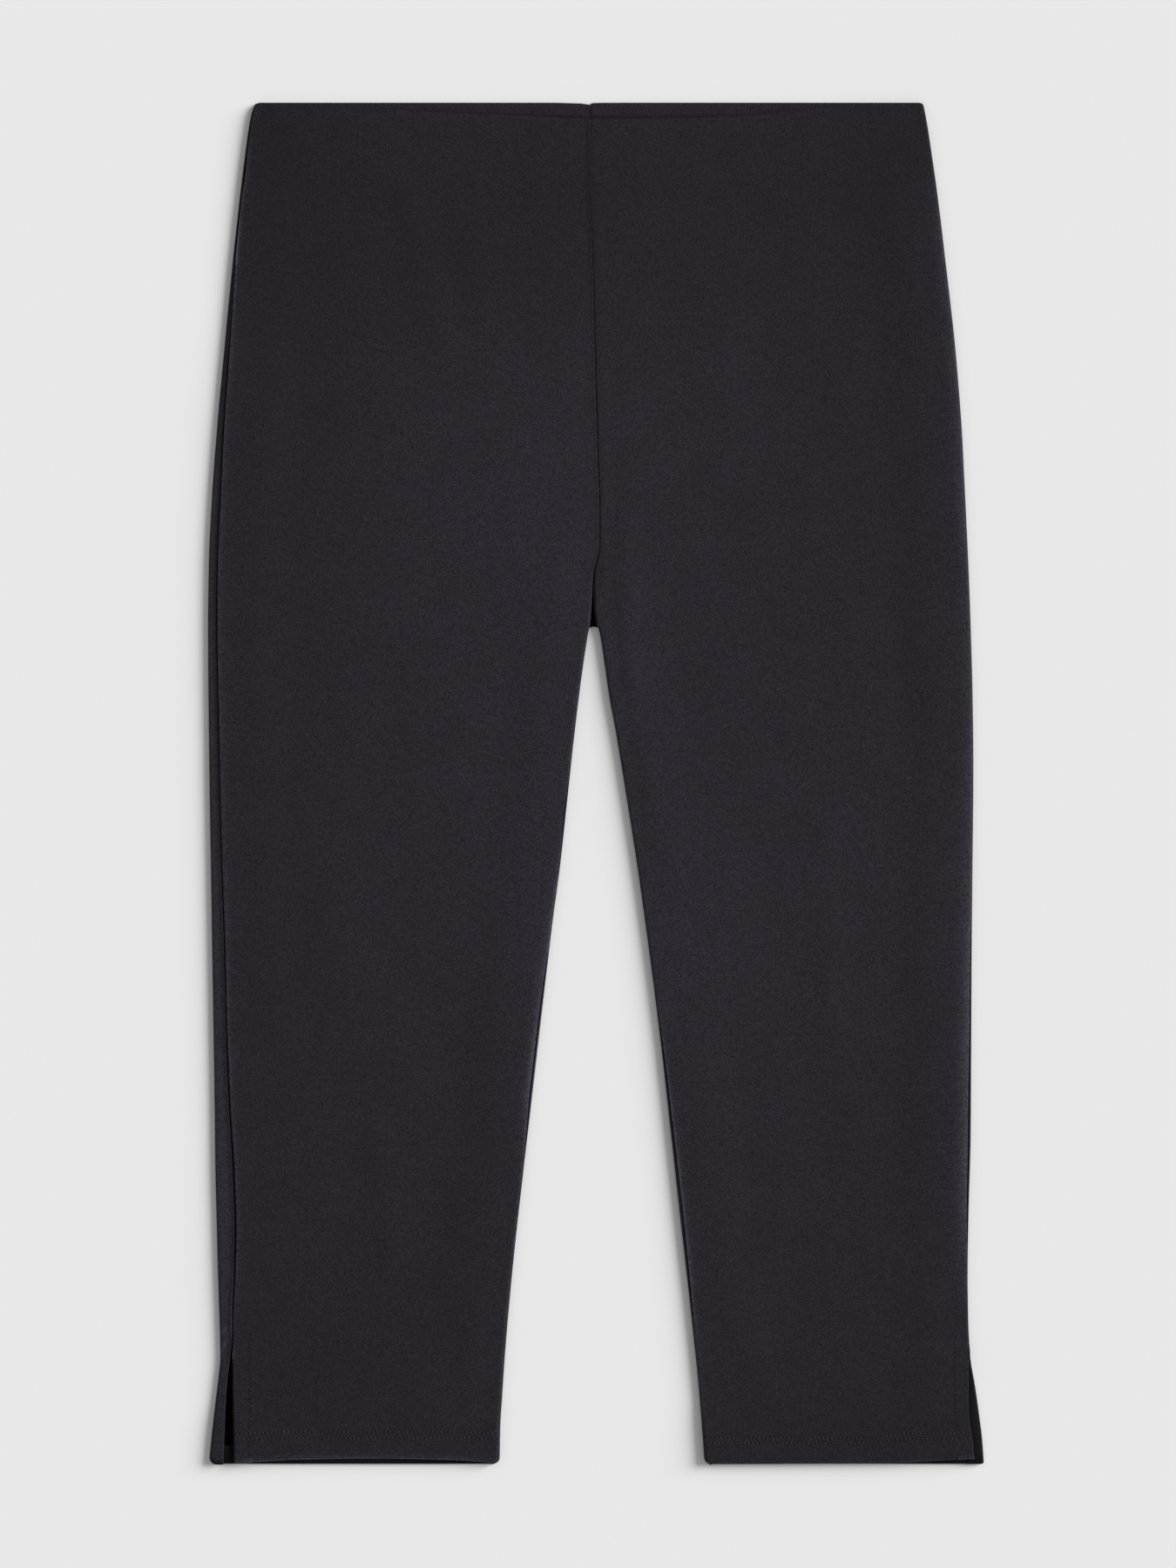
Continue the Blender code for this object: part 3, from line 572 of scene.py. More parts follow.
def panel_grid(cross_section, waist, hem, corners, first_turned):
    """Points of a panel, a row for each station. The turned-up columns stop short, with room for the fold."""
    outer, inner = corners
    grid = []
    for station in STATIONS:
        spots = cross_section(station)
        low, high = min(s.x for s in spots), max(s.x for s in spots)
        at_waist = 1 - fade(station, 0, WAIST_EASE)
        at_hem = fade(station, HEM_TOP, LENGTH)
        room = slit_room(station) if outer == SLIT_CORNER else 0
        row = []
        for column, spot in enumerate(spots):
            inside = min(spot.x - low, high - spot.x)
            sunk, rounding = between(waist, spot.x).down, corner(inside, inner)
            if column <= LAST_OUTER:
                sunk, rounding = sunk + corner(inside, WAIST_CORNER), corner(inside + room, outer)
            folded = reach(FOLD) if first_turned <= column <= LAST_MIDDLE else 0
            down = station + sunk * at_waist - (between(hem, spot.x).up + rounding + folded) * at_hem
            row.append(Point(spot.x, LENGTH / 2 - down, spot.z, spot.across, -down))
        grid.append(row)
    return grid


def rib(edge, outward, inward, inside, turn=math.pi):
    """A strip across a turned edge: round the fold, then back over points of the panel, moved inward."""
    points = []
    for step in range(1, FOLD_STEPS + 1):
        angle = turn * step / FOLD_STEPS
        lift, out = FOLD * (1 - math.cos(angle)), FOLD * math.sin(angle)
        x, y, z = (edge[k] + lift * inward[k] + out * outward[k] for k in range(3))
        run = FOLD * angle
        points.append(Point(x, y, z, edge.across + run * outward[0], edge.along + run * outward[1]))
    for point in inside:
        x, y, z = (point[k] + 2 * FOLD * inward[k] for k in range(3))
        across = edge.across + (edge.across - point.across + math.pi * FOLD * outward[0]) * abs(outward[0])
        along = edge.along + (edge.along - point.along + math.pi * FOLD * outward[1]) * abs(outward[1])
        points.append(Point(x, y, z, across, along))
    return points


def hem_turning(grid, inward, first_turned):
    """The turned-up hem, as ribs that start at points of the panel's last row."""
    last, out = len(grid) - 1, (0, -1, 0)
    ribs = []
    if first_turned == FIRST_MIDDLE:
        ribs.append(((last, first_turned - 1), rib(grid[-1][first_turned - 1], out, inward, [], START_TURN)))
    for column in range(first_turned, LAST_MIDDLE + 1):
        inside = [grid[row][column] for row in range(len(grid) - 2, STATIONS.index(HEM_TOP) - 1, -1)]
        ribs.append(((last, column), rib(grid[-1][column], out, inward, inside)))
    ribs.append(((last, LAST_MIDDLE + 1), rib(grid[-1][LAST_MIDDLE + 1], out, inward, [], START_TURN)))
    return ribs


def slit_turning(grid, facing, inward, radius):
    """The turned-back slit edge, as ribs that start at points of the panel's outer column."""
    ribs = []
    for row in range(STATIONS.index(SLIT_TOP), len(grid)):
        edge, room = grid[row][0], reach(FOLD)
        points = rib(edge, (facing, 0, 0), inward, grid[row][2:FIRST_HEM])
        for k, point in enumerate(points[:FOLD_STEPS]):
            rounding = corner(room - abs(point.x - edge.x), radius) - corner(room, radius)
            points[k] = point._replace(y=point.y + rounding * fade(STATIONS[row], HEM_TOP, LENGTH))
        if not ribs:
            points = [point._replace(y=point.y + GAP - CLOSED_GAP) for point in points]
        ribs.append(((row, 0), points))
    return ribs


def slit_room(down):
    """The room that the fold of a turned-back slit edge takes at a place down."""
    return reach(FOLD) if down >= SLIT_TOP else 0


def new_piece(name, mesh, material):
    """A smooth piece in the scene, made from a mesh."""
    mesh.shade_smooth()
    mesh.materials.append(material)
    piece = bpy.data.objects.new(name, mesh)
    bpy.context.scene.collection.objects.link(piece)
    return piece


def apply_modifiers(piece, **kinds):
    """Gives a piece its modifiers in order, each with its settings, and applies them."""
    bpy.ops.object.select_all(action="DESELECT")
    bpy.context.view_layer.objects.active = piece
    piece.select_set(True)
    for kind, settings in kinds.items():
        modifier = piece.modifiers.new(kind, kind)
        for key, value in settings.items():
            setattr(modifier, key, value)
        bpy.ops.object.modifier_apply(modifier=modifier.name)


def tone_at(x, down):
    """How light the cloth is at a place, beside its usual tone: partly its own tone, partly painted light and
    shade.
    """
    tone = 1
    for t in TONES:
        tone += t.amount * math.exp(-(((x - t.out) / t.across) ** 2) - ((down - t.down) / t.along) ** 2)
    return tone


@lru_cache(maxsize=None)
def edges_at(side, down):
    """The rows of a half's tables and the front's height at a place down."""
    half = HALVES[side > 0]
    return between(half.outer, down), between(half.inner, down), between(FRONT_LEVEL, down).level


def front_tone(half, x, down, z):
    """The front's tone: painted highlight and shade along its edges and hem folds, and painted shade low down
    between the layers.
    """
    side, inner, level = edges_at(half.side, round(down, 0))
    to_side = side.edge - max(side.seam, 0) - half.side * x
    to_inner = half.side * (x - inner.front) - max(inner.seam, 0) * (1 - inner.front_flat)
    painted_light_and_shade = 0
    for rim in RIMS:
        if rim.side == half.side and rim.start < down < rim.end:
            begun = fade(down, rim.start, rim.start + PAINTED_RIM_EASE)
            place = begun * (1 - fade(down, rim.end - PAINTED_RIM_EASE, rim.end))
            near = max(to_inner if rim.inner else to_side, 0)
            painted_light_and_shade += rim.amount * place * math.exp(-((near / rim.width) ** 2))
    # A painted highlight along the front hem's fold.
    to_hem = max(LENGTH - between(FRONT_HEM, x).up - down, 0)
    hem = HEM_RIM * min(between(FRONT_HEM, x).up / 2, 1) * (1 - 0.7 * fade(x, 150, 215))
    painted_light_and_shade += hem * math.exp(-((to_hem / HEM_RIM_WIDTH) ** 2))
    return (tone_at(x, down) + painted_light_and_shade) * mix(1, BURIED_TONE, fade(level - z, *BURIED))


def in_right_slit(half, x, down, z):
    """Whether a place on the back lies at the right slit's bottom, on either side of the cloth."""
    if half.side > 0 or down < SLIT_DARK[0] or z > STRIP_LEVEL:
        return False
    side, _, _ = edges_at(half.side, round(down, 0))
    return side.seam - side.slit + SLIT_BOTTOM[0] < side.edge - abs(x) < side.seam + SLIT_BOTTOM[1]


def back_tone(half, x, down, z):
    """The back's tone: painted shade where it shows past the front's edges and along its waist edge, darkest
    in the slit and the crotch, and painted highlight on the strip folded onto the front.
    """
    side, inner, _ = edges_at(half.side, round(down, 0))
    past_side = half.side * x - side.edge + max(side.seam, 0)
    past_inner = -half.side * (x - inner.front) + max(inner.seam, 0)
    past_hem = down - LENGTH + between(FRONT_HEM, x).up
    shade = 1
    # Painted shade where the back shows past the front's hem and edges and in the right slit, lightening to
    # painted highlight outside a leg's inner edge.
    if past_hem > -1:
        shade = HEM_TONE
    elif past_inner > -1:
        shade = mix(0.6, 1.5, fade(past_inner, 0.3, 1.5))
    elif down > SLIT_DIM and in_right_slit(half, x, down, z):
        shade = SLIT_TONE
    elif past_side > -1 and half.side < 0:
        # On the strip: painted shade in the ditch beside the front's edge, and painted highlight towards the
        # strip's outer edge.
        ditch = mix(0.2, 1.7, fade(down, 735, 775) * (1 - fade(down, 784, 788)))
        shade = mix(ditch, mix(1.0, 2.2, fade(past_side, 1.2, 4.5)), fade(past_side, 0.2, 2.2))
        opened = fade(down, 795, 830)
        shade *= mix(1, 0.68 * mix(0.55, 1, fade(past_side - side.slit, 0.2, 1.5)), opened)
    elif past_side > -1:
        near, far = mix(0.5, 0.03, fade(down, 770, 790)), mix(0.75, 0.45, fade(down, 790, 810))
        shade = mix(near, far, fade(past_side, 1, 5))
    if down < 250 and half.side < 0:
        shade = min(shade, mix(0.8, 2.0, fade(down, 110, 250)))
    if down < between(BACK_WAIST, x).down + 0.8:
        shade = WAIST_TONE
    # Painted highlights on the puckers at the right slit's top.
    marks = creases(MARKS, down)(x) if half.side < 0 and z > 2 else 0
    return (tone_at(x, down) + marks) * mix(1, shade, fade(z, 0.3, 1.0))


def is_deep(half, x, down, z):
    """Whether a place on the back lies at the right slit's bottom, or on the upper side inside the crotch."""
    if in_right_slit(half, x, down, z):
        return down < SLIT_DARK[1]
    return CROTCH_DARK[0] < down < CROTCH_DARK[1] and abs(x - CROTCH_MIDDLE) < CROTCH_REACH and z > 0.3


def facing_tone(x, down, z):
    """The facing's tone: painted shade just above the front's waist edge, and a dark line in the centre back
    seam.
    """
    above = between(FRONT_WAIST, x).down - down
    strength = mix(0.3, 0.62, fade(x, -110, -20) * (1 - fade(x, 80, 150)))
    seam = 0.6 * fade(down, 0, 5) * math.exp(-(((x - CENTRE_BACK) / 0.9) ** 2))
    return (0.94 - strength * math.exp(-max(above, 0) / 1.1)) * (1 - seam)


def paint(piece, name, value_at):
    """Stores a value for each vertex as an attribute."""
    values = [value_at(v.co.x / MM, LENGTH / 2 - v.co.y / MM, v.co.z / MM) for v in piece.data.vertices]
    attribute = piece.data.attributes.new(name, "FLOAT", "POINT")
    attribute.data.foreach_set("value", values)


def cloth_piece(name, grid, turnings, material):
    """A piece of cloth: its sheet, the edges turned in on it, and a wall with rounded rims."""
    shape = bmesh.new()
    weave = shape.loops.layers.uv.new("weave")
    place = {}

    def vertex(point):
        """A vertex at a point, whose place on the cloth is noted."""
        v = shape.verts.new([MM * c for c in point[:3]])
        place[v] = (MM * point.across, MM * point.along)
        return v

    def loft(rows):
        """Faces between neighbouring rows of vertices."""
        for here, ahead in zip(rows, rows[1:]):
            for k in range(min(len(here), len(ahead)) - 1):
                shape.faces.new((here[k], here[k + 1], ahead[k + 1], ahead[k]))

    rows = [[vertex(point) for point in row] for row in grid]
    loft(rows)
    for ribs in turnings:
        loft([[rows[row][column]] + [vertex(p) for p in points] for (row, column), points in ribs])
    bmesh.ops.recalc_face_normals(shape, faces=shape.faces)
    for face in shape.faces:
        for loop in face.loops:
            loop[weave].uv = place[loop.vert]
    mesh = bpy.data.meshes.new(name)
    shape.to_mesh(mesh)
    shape.free()
    piece = new_piece(name, mesh, material)
    wall = {"thickness": WALL * MM, "offset": 0, "use_even_offset": True, "use_quality_normals": True}
    rim = {"width": RIM_WIDTH * MM, "segments": 2, "limit_method": "ANGLE", "angle_limit": RIM_ANGLE}
    apply_modifiers(piece, SOLIDIFY=wall, BEVEL=rim)
    return piece


def shade_deep(piece, material, is_deep_at):
    """Gives the faces at deep places a second material."""
    piece.data.materials.append(material)
    for face in piece.data.polygons:
        x, y, z = face.center / MM
        if is_deep_at(x, LENGTH / 2 - y, z):
            face.material_index = 1


class Nodes:
    """Builds a node tree from short calls."""

    def __init__(self, tree):
        self.tree = tree

    def add(self, kind, settings=None, **inputs):
        """A node with its settings and inputs. An input may be a value or another node's socket."""
        node = self.tree.nodes.new(kind)
        for key, value in (settings or {}).items():
            setattr(node, key, value)
        for key, value in inputs.items():
            name = int(key[1:]) if key[0] == "i" and key[1:].isdigit() else key.replace("_", " ")
            socket = node.inputs[name]
            if isinstance(value, NodeSocket):
                self.tree.links.new(value, socket)
            else:
                socket.default_value = value
        return node

    def math(self, operation, first, second=0.0, third=0.0):
        """The output of a Math node."""
        return self.add("ShaderNodeMath", {"operation": operation}, i0=first, i1=second, i2=third).outputs[0]

    def vary(self, value, amount, base, middle=0.5):
        """A base, and as much more as a value lies over its middle, times an amount."""
        return self.math("MULTIPLY_ADD", self.math("SUBTRACT", value, middle), amount, base)

    def times(self, vector, factor):
        """A vector or a colour times a number."""
        return self.add("ShaderNodeVectorMath", {"operation": "SCALE"}, i0=vector, Scale=factor).outputs[0]

    def smooth(self, value, start, end):
        """A smooth run of a value from 0 at the start to 1 at the end."""
        settings = {"interpolation_type": "SMOOTHSTEP"}
        return self.add("ShaderNodeMapRange", settings, Value=value, i1=start, i2=end).outputs[0]

    def noise(self, place, scale, detail, roughness=0.5, dimensions="3D"):
        """The output of a Noise node."""
        settings = {"noise_dimensions": dimensions}
        inputs = {"Vector": place, "Scale": scale, "Detail": detail, "Roughness": roughness}
        return self.add("ShaderNodeTexNoise", settings, **inputs).outputs[0]

    def link(self, output, socket):
        """Joins an output to an input."""
        self.tree.links.new(output, socket)


def node_group(name, inputs, outputs):
    """A shader node group's builder, group input and group output. An input without a number is a place."""
    group = bpy.data.node_groups.new(name, "ShaderNodeTree")
    for socket, default in inputs.items():
        kind = "NodeSocketVector" if default is None else "NodeSocketFloat"
        made = group.interface.new_socket(name=socket, in_out="INPUT", socket_type=kind)
        if default is not None:
            made.default_value = default
    for socket in outputs:
        group.interface.new_socket(name=socket, in_out="OUTPUT", socket_type="NodeSocketFloat")
    nodes = Nodes(group)
    return nodes, nodes.add("NodeGroupInput"), nodes.add("NodeGroupOutput")


def knit_group():
    """The knit's tone and height at a place on the cloth: V-shaped loops of uneven yarn and a few flecks."""
    if "knit" in bpy.data.node_groups:
        return bpy.data.node_groups["knit"]
    n, source, result = node_group("knit", {"Place": None, "Pitch": 0.001}, ["Tone", "Height"])
    cloth = n.times(source.outputs["Place"], n.math("DIVIDE", 1.0, source.outputs["Pitch"]))
    apart = n.add("ShaderNodeSeparateXYZ", i0=cloth)
    # The columns and rows of loops, which drift a little.
    drift = n.noise(cloth, 0.09, 2.0, dimensions="2D")
    across = n.math("MULTIPLY_ADD", drift, 1.6, apart.outputs[0])
    side = n.math("ABSOLUTE", n.math("SUBTRACT", n.math("FRACT", across), 0.5))
    along = n.math("ADD", n.math("MULTIPLY", apart.outputs[1], 1.3), n.math("MULTIPLY_ADD", drift, 1.2, side))
    # A loop: two slanting, rounded legs, with a groove between two columns.
    leg_side = n.math("ABSOLUTE", n.math("SUBTRACT", n.math("FRACT", along), 0.5))
    rounded = n.math("SUBTRACT", 1.0, n.math("POWER", n.math("MULTIPLY", leg_side, 2.0), 2.0))
    groove = n.math("SUBTRACT", 1.0, n.math("POWER", n.math("MULTIPLY", side, 2.0), 4.0))
    loop = n.math("MULTIPLY", rounded, groove)
    # Each loop's own tone, the yarn's, and short lighter and darker runs across and along the cloth.
    cell = n.add("ShaderNodeCombineXYZ", i0=n.math("FLOOR", across), i1=n.math("FLOOR", along)).outputs[0]
    own = n.add("ShaderNodeTexWhiteNoise", {"noise_dimensions": "2D"}, Vector=cell).outputs[0]
    yarn = n.noise(cloth, 1.1, 1.0, dimensions="2D")
    flat = n.add("ShaderNodeMapping", Vector=cloth, Scale=(0.12, 0.7, 1.0))
    lines = n.noise(flat.outputs[0], 1.0, 2.0, dimensions="2D")
    upright = n.add("ShaderNodeMapping", Vector=cloth, Scale=(0.6, 0.16, 1.0), Location=(37.0, 11.0, 0.0))
    ticks = n.noise(upright.outputs[0], 1.0, 2.0, dimensions="2D")
    # A few light flecks.
    nep = n.add("ShaderNodeTexVoronoi", {"voronoi_dimensions": "2D"}, Vector=cloth, Scale=0.022)
    chosen = n.math("GREATER_THAN", n.add("ShaderNodeSeparateXYZ", i0=nep.outputs["Color"]).outputs[0], 0.72)
    fleck = n.math("MULTIPLY", chosen, n.smooth(nep.outputs["Distance"], 0.02, 0.01))
    mixed = n.vary(ticks, 0.35, n.vary(lines, 0.45, n.vary(yarn, 0.9, n.vary(own, 0.9, 0.5))))
    n.link(n.math("MULTIPLY_ADD", fleck, 0.9, n.vary(loop, 0.35, mixed, 0.55)), result.inputs["Tone"])
    n.link(n.math("MULTIPLY_ADD", loop, 0.8, mixed), result.inputs["Height"])
    return n.tree


def stitch_group():
    """Needle holes along a row of stitches, from the distance to the row and the place along it."""
    if "needle_holes" in bpy.data.node_groups:
        return bpy.data.node_groups["needle_holes"]
    inputs = {"Distance": 1.0, "Along": 0.0, "Pitch": 0.0025, "Width": 0.5}
    n, source, result = node_group("needle_holes", inputs, ["Hole"])
    turn = n.math("FRACT", n.math("DIVIDE", source.outputs["Along"], source.outputs["Pitch"]))
    at_hole = n.smooth(n.math("ABSOLUTE", n.math("SUBTRACT", turn, 0.5)), 0.31, 0.44)
    share = n.math("DIVIDE", n.math("ABSOLUTE", source.outputs["Distance"]), source.outputs["Width"])
    n.link(n.math("MULTIPLY", at_hole, n.smooth(share, 1.0, 0.3)), result.inputs["Hole"])
    return n.tree


def new_material(name):
    """A new material, its tree's builder and its shader."""
    material = bpy.data.materials.new(name)
    material.use_nodes = True
    return material, Nodes(material.node_tree), material.node_tree.nodes["Principled BSDF"]


def finish(shader, **values):
    """Sets inputs of a shader."""
    for name, value in values.items():
        shader.inputs[name.replace("_", " ")].default_value = value


def cloth_material(name, colour, sizes, rows=()):
    """Matt stretch knit.

    rows name the attributes that hold the distance to a row of stitches. With each come how far its holes are
    shifted, in stitches, and which of the weave's two directions it runs along.
    """
    material, n, shader = new_material(name)
    place = n.add("ShaderNodeUVMap", {"uv_map": "weave"}).outputs[0]
    knit = n.add("ShaderNodeGroup", {"node_tree": knit_group()}, Place=place, Pitch=sizes.knit_pitch)
    # tone holds the cloth's own lighter and darker places together with its painted light and shade.
    tone = n.add("ShaderNodeAttribute", {"attribute_name": "tone"}).outputs["Fac"]
    yarn = n.vary(knit.outputs["Tone"], 2 * sizes.knit_contrast, 1.0)
    cloudy = n.vary(n.noise(place, 38.0, 3.0, 0.55), 0.30, 1.0)
    shade = n.math("MULTIPLY", n.math("MULTIPLY", yarn, tone), cloudy)
    height = knit.outputs["Height"]
    apart = n.add("ShaderNodeSeparateXYZ", i0=place)
    for attribute, phase, along in rows:
        row = {
            "Distance": n.add("ShaderNodeAttribute", {"attribute_name": attribute}).outputs["Fac"],
            "Along": n.math("ADD", apart.outputs[along], phase * sizes.stitch_pitch),
            "Pitch": sizes.stitch_pitch,
            "Width": 0.75,
        }
        holes = n.add("ShaderNodeGroup", {"node_tree": stitch_group()}, **row).outputs["Hole"]
        # Painted shade nearly blackens the needle holes, which the bump also sinks.
        shade = n.math("MULTIPLY", shade, n.math("MULTIPLY_ADD", holes, -0.92, 1.0))
        height = n.math("MULTIPLY_ADD", holes, -1.5, height)
    n.link(n.times(tuple(colour), shade), shader.inputs["Base Color"])
    bump = n.add("ShaderNodeBump", Height=height, Strength=0.45, Distance=0.00025)
    n.link(bump.outputs[0], shader.inputs["Normal"])
    finish(shader, Roughness=0.85, Specular_IOR_Level=0.15)
    finish(shader, Sheen_Weight=0.06, Sheen_Roughness=0.45, Sheen_Tint=(0.9, 0.85, 0.95, 1.0))
    return material


def deep_material():
    """The cloth down inside the slit and the crotch, where hardly any light comes."""
    material, n, shader = new_material("deep_cloth")
    place = n.add("ShaderNodeUVMap", {"uv_map": "weave"}).outputs[0]
    tinted = n.times((0.0045, 0.0040, 0.0052), n.noise(place, 900.0, 2.0))
    n.link(tinted, shader.inputs["Base Color"])
    finish(shader, Roughness=1.0, Specular_IOR_Level=0.0)
    return material


def thread_material(name, colour):
    """Twisted sewing thread."""
    if name in bpy.data.materials:
        return bpy.data.materials[name]
    material, n, shader = new_material(name)
    place = n.add("ShaderNodeTexCoord").outputs["Object"]
    twist = n.vary(n.noise(place, 2600.0, 1.0), 0.9, 1.0)
    shade = n.math("MULTIPLY", twist, n.vary(n.noise(place, 160.0, 2.0), 3.0, 1.0))
    n.link(n.times(tuple(colour), shade), shader.inputs["Base Color"])
    finish(shader, Roughness=0.7, Specular_IOR_Level=0.2)
    return material


def dress(piece, slot, *nodes):
    """A new piece rides on the garment and stands for CAD nodes. The slot is not used."""
    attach(piece, "root")
    if nodes:
        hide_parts(*nodes)


Half = namedtuple("Half", "name side outer inner hem_rows slit_row")
HALVES = (
    Half("right", -1, RIGHT_SIDE, RIGHT_INNER, HEM_ROWS_RIGHT, SLIT_ROW_RIGHT),
    Half("left", 1, LEFT_SIDE, LEFT_INNER, HEM_ROWS_LEFT, SLIT_ROW_LEFT),
)


def stitch_rows(half):
    """The attributes that hold how far the cloth is from a row of stitches, with their functions."""

    def hem(lower, x, down, z):
        """How far a place lies under a row of the hem."""
        row = between(half.hem_rows, x)
        return min(max(down - row.down - lower * row.gap, -ROW_REACH), ROW_REACH)

    def slit(x, down, z):
        """How far a place lies out from the row beside the slit."""
        if half.slit_row[0].down - 1 < down < half.slit_row[-1].down + 1:
            return min(max(x - between(half.slit_row, down).out, -ROW_REACH), ROW_REACH)
        return ROW_REACH

    return ("hem_row", partial(hem, 0)), ("hem_row_low", partial(hem, 1)), ("slit_row", slit)


def front_grid(half):
    """Points of a front panel."""

    def cross_section(down):
        """Spots across the panel at a place down."""
        level = between(FRONT_LEVEL, down).level
        outer = front_outer(half.side, between(half.outer, down), slit_room(down))
        inner = front_inner(-half.side, between(half.inner, down), level)
        return section(outer, inner, level, creases(FRONT_CREASES, down))

    return panel_grid(cross_section, FRONT_WAIST, FRONT_HEM, (0, CORNER), FIRST_HEM)


def back_grid(half):
    """Points of a back panel, and whether it lies open at the slit."""
    open_slit = half.outer[-1].back_open == 1

    def cross_section(down):
        """Spots across the panel at a place down."""
        outer = back_outer(half.side, between(half.outer, down), slit_room(down) if open_slit else 0)
        inner = back_inner(-half.side, between(half.inner, down))
        return section(outer, inner, FLOOR, creases(BACK_CREASES, down))

    corners = (SLIT_CORNER if open_slit else CORNER, CORNER)
    first_turned = FIRST_HEM if open_slit else FIRST_MIDDLE
    return panel_grid(cross_section, BACK_WAIST, BACK_HEM, corners, first_turned), open_slit


class CAPRI_OT_front_panels(Operator):
    """Builds the two front panels"""

    bl_idname = "capri.front_panels"
    bl_label = "Front panels"

    def execute(self, context):
        sizes = context.scene.capri_sizes
        rows = [("hem_row", 0.0, 0), ("hem_row_low", 0.5, 0), ("slit_row", 0.0, 1)]
        material = cloth_material("front_cloth", sizes.cloth, sizes, rows)
        for half in HALVES:
            grid = front_grid(half)
            turnings = [hem_turning(grid, DOWN, FIRST_HEM), slit_turning(grid, half.side, DOWN, 0)]
            piece = cloth_piece(f"front_{half.name}_cloth", grid, turnings, material)
            paint(piece, "tone", partial(front_tone, half))
            for name, value_at in stitch_rows(half):
                paint(piece, name, value_at)
            dress(piece, "cloth", f"front_{half.name}")
        return {"FINISHED"}


class CAPRI_OT_back_panels(Operator):
    """Builds the two back panels, with the strip that is folded onto the right front"""

    bl_idname = "capri.back_panels"
    bl_label = "Back panels"

    def execute(self, context):
        sizes = context.scene.capri_sizes
        material, deep = cloth_material("back_cloth", sizes.cloth, sizes), deep_material()
        for half in HALVES:
            grid, open_slit = back_grid(half)
            turnings = [hem_turning(grid, UP, FIRST_HEM if open_slit else FIRST_MIDDLE)]
            if open_slit:
                turnings.append(slit_turning(grid, half.side, UP, SLIT_CORNER))
            piece = cloth_piece(f"back_{half.name}_cloth", grid, turnings, material)
            paint(piece, "tone", partial(back_tone, half))
            shade_deep(piece, deep, partial(is_deep, half))
            dress(piece, "cloth", f"back_{half.name}")
        return {"FINISHED"}


class CAPRI_OT_waist_facings(Operator):
    """Builds the facing inside the back waist"""

    bl_idname = "capri.waist_facings"
    bl_label = "Waist facings"

    def execute(self, context):
        sizes = context.scene.capri_sizes
        material = cloth_material("facing_cloth", sizes.inside, sizes)
        for half in HALVES:
            grid, _ = back_grid(half)
            facing = []
            for row, station in zip(grid[: STATIONS.index(FACING_DEPTH) + 1], STATIONS):
                drop = FACING_DROP * (1 - fade(station, 0, FACING_DEPTH))
                facing.append([p._replace(y=p.y - drop, z=p.z + LAYER) for p in row[FACING_COLUMN:]])
            piece = cloth_piece(f"waist_facing_{half.name}_cloth", facing, [], material)
            paint(piece, "tone", facing_tone)
            dress(piece, "waist_facing", f"waist_facing_{half.name}")
        return {"FINISHED"}


def stitch_shape(sizes):
    """The points and faces of one stitch along X: a slanted thread that rises between two needle holes."""
    bpy.ops.object.select_all(action="DESELECT")
    bpy.ops.mesh.primitive_uv_sphere_add(segments=6, ring_count=6, radius=1.0)
    thread = bpy.context.active_object
    thread.data.transform(Matrix.Rotation(math.pi / 2, 4, "Y"))
    for v in thread.data.vertices:
        v.co.y += STITCH_SLANT * v.co.x * abs(v.co.x)
        v.co.z += STITCH_ARCH * (1 - 2 * v.co.x**2)
    thickness = sizes.thread / 2
    thread.data.transform(Matrix.Diagonal((STITCH_SHARE * sizes.stitch_pitch, thickness, thickness, 1)))
    mesh = thread.data
    points = [v.co.copy() for v in mesh.vertices]
    # Sorted, because the order of a new sphere's points changes from run to run.
    order = sorted(range(len(points)), key=lambda k: [round(c, 8) for c in points[k]])
    faces = sorted([order.index(k) for k in p.vertices] for p in mesh.polygons)
    bpy.data.objects.remove(thread)
    bpy.data.meshes.remove(mesh)
    return [points[k] for k in order], faces


def sew(kind, panel, half, places, thread):
    """A row of stitches on a piece of cloth, each at a place and along a direction seen from above."""
    sizes = bpy.context.scene.capri_sizes
    name, cloth = f"{kind}_{half.name}", bpy.data.objects[f"{panel}_{half.name}_cloth"]
    tree = BVHTree.FromObject(cloth, bpy.context.evaluated_depsgraph_get())
    shape, shape_faces = stitch_shape(sizes)
    points, faces = [], []
    for x, down, direction, scale in places:
        above = Vector((x * MM, (LENGTH / 2 - down) * MM, 0.1))
        hit, normal, _, _ = tree.ray_cast(above, Vector(DOWN))
        if hit is None:
            raise RuntimeError(f"no cloth under a stitch of {name} at {x:.1f}, {down:.1f}")
        forward = Vector((*direction, 0))
        forward = (forward - normal * forward.dot(normal)).normalized()
        turn = Matrix((forward, normal.cross(forward), normal)).transposed()
        faces += [[k + len(points) for k in face] for face in shape_faces]
        points += [hit + turn @ Vector((p.x * scale, p.y, p.z)) for p in shape]
    mesh = bpy.data.meshes.new(name)
    mesh.from_pydata(points, [], faces)
    dress(new_piece(name, mesh, thread), "cloth")


class CAPRI_OT_hem_stitches(Operator):
    """Sews two rows of stitches along each front hem"""

    bl_idname = "capri.hem_stitches"
    bl_label = "Hem stitches"

    def execute(self, context):
        sizes = context.scene.capri_sizes
        pitch = sizes.stitch_pitch / MM
        thread = thread_material("thread", sizes.thread_colour)
        for half in HALVES:
            first, last = half.hem_rows[0].out + ROW_INSETS[0], half.hem_rows[-1].out - ROW_INSETS[1]
            places = []
            for k in range(math.ceil(first / pitch), math.floor(last / pitch)):
                for lower in (0, 1):
                    x = (k + 0.5 + lower / 2) * pitch
                    row, ahead = between(half.hem_rows, x), between(half.hem_rows, x + 1)
                    direction = (1, -(ahead.down - row.down + lower * (ahead.gap - row.gap)))
                    places.append((x, row.down + lower * row.gap, direction, 1.0))
            sew("hem_stitches", "front", half, places, thread)
        return {"FINISHED"}


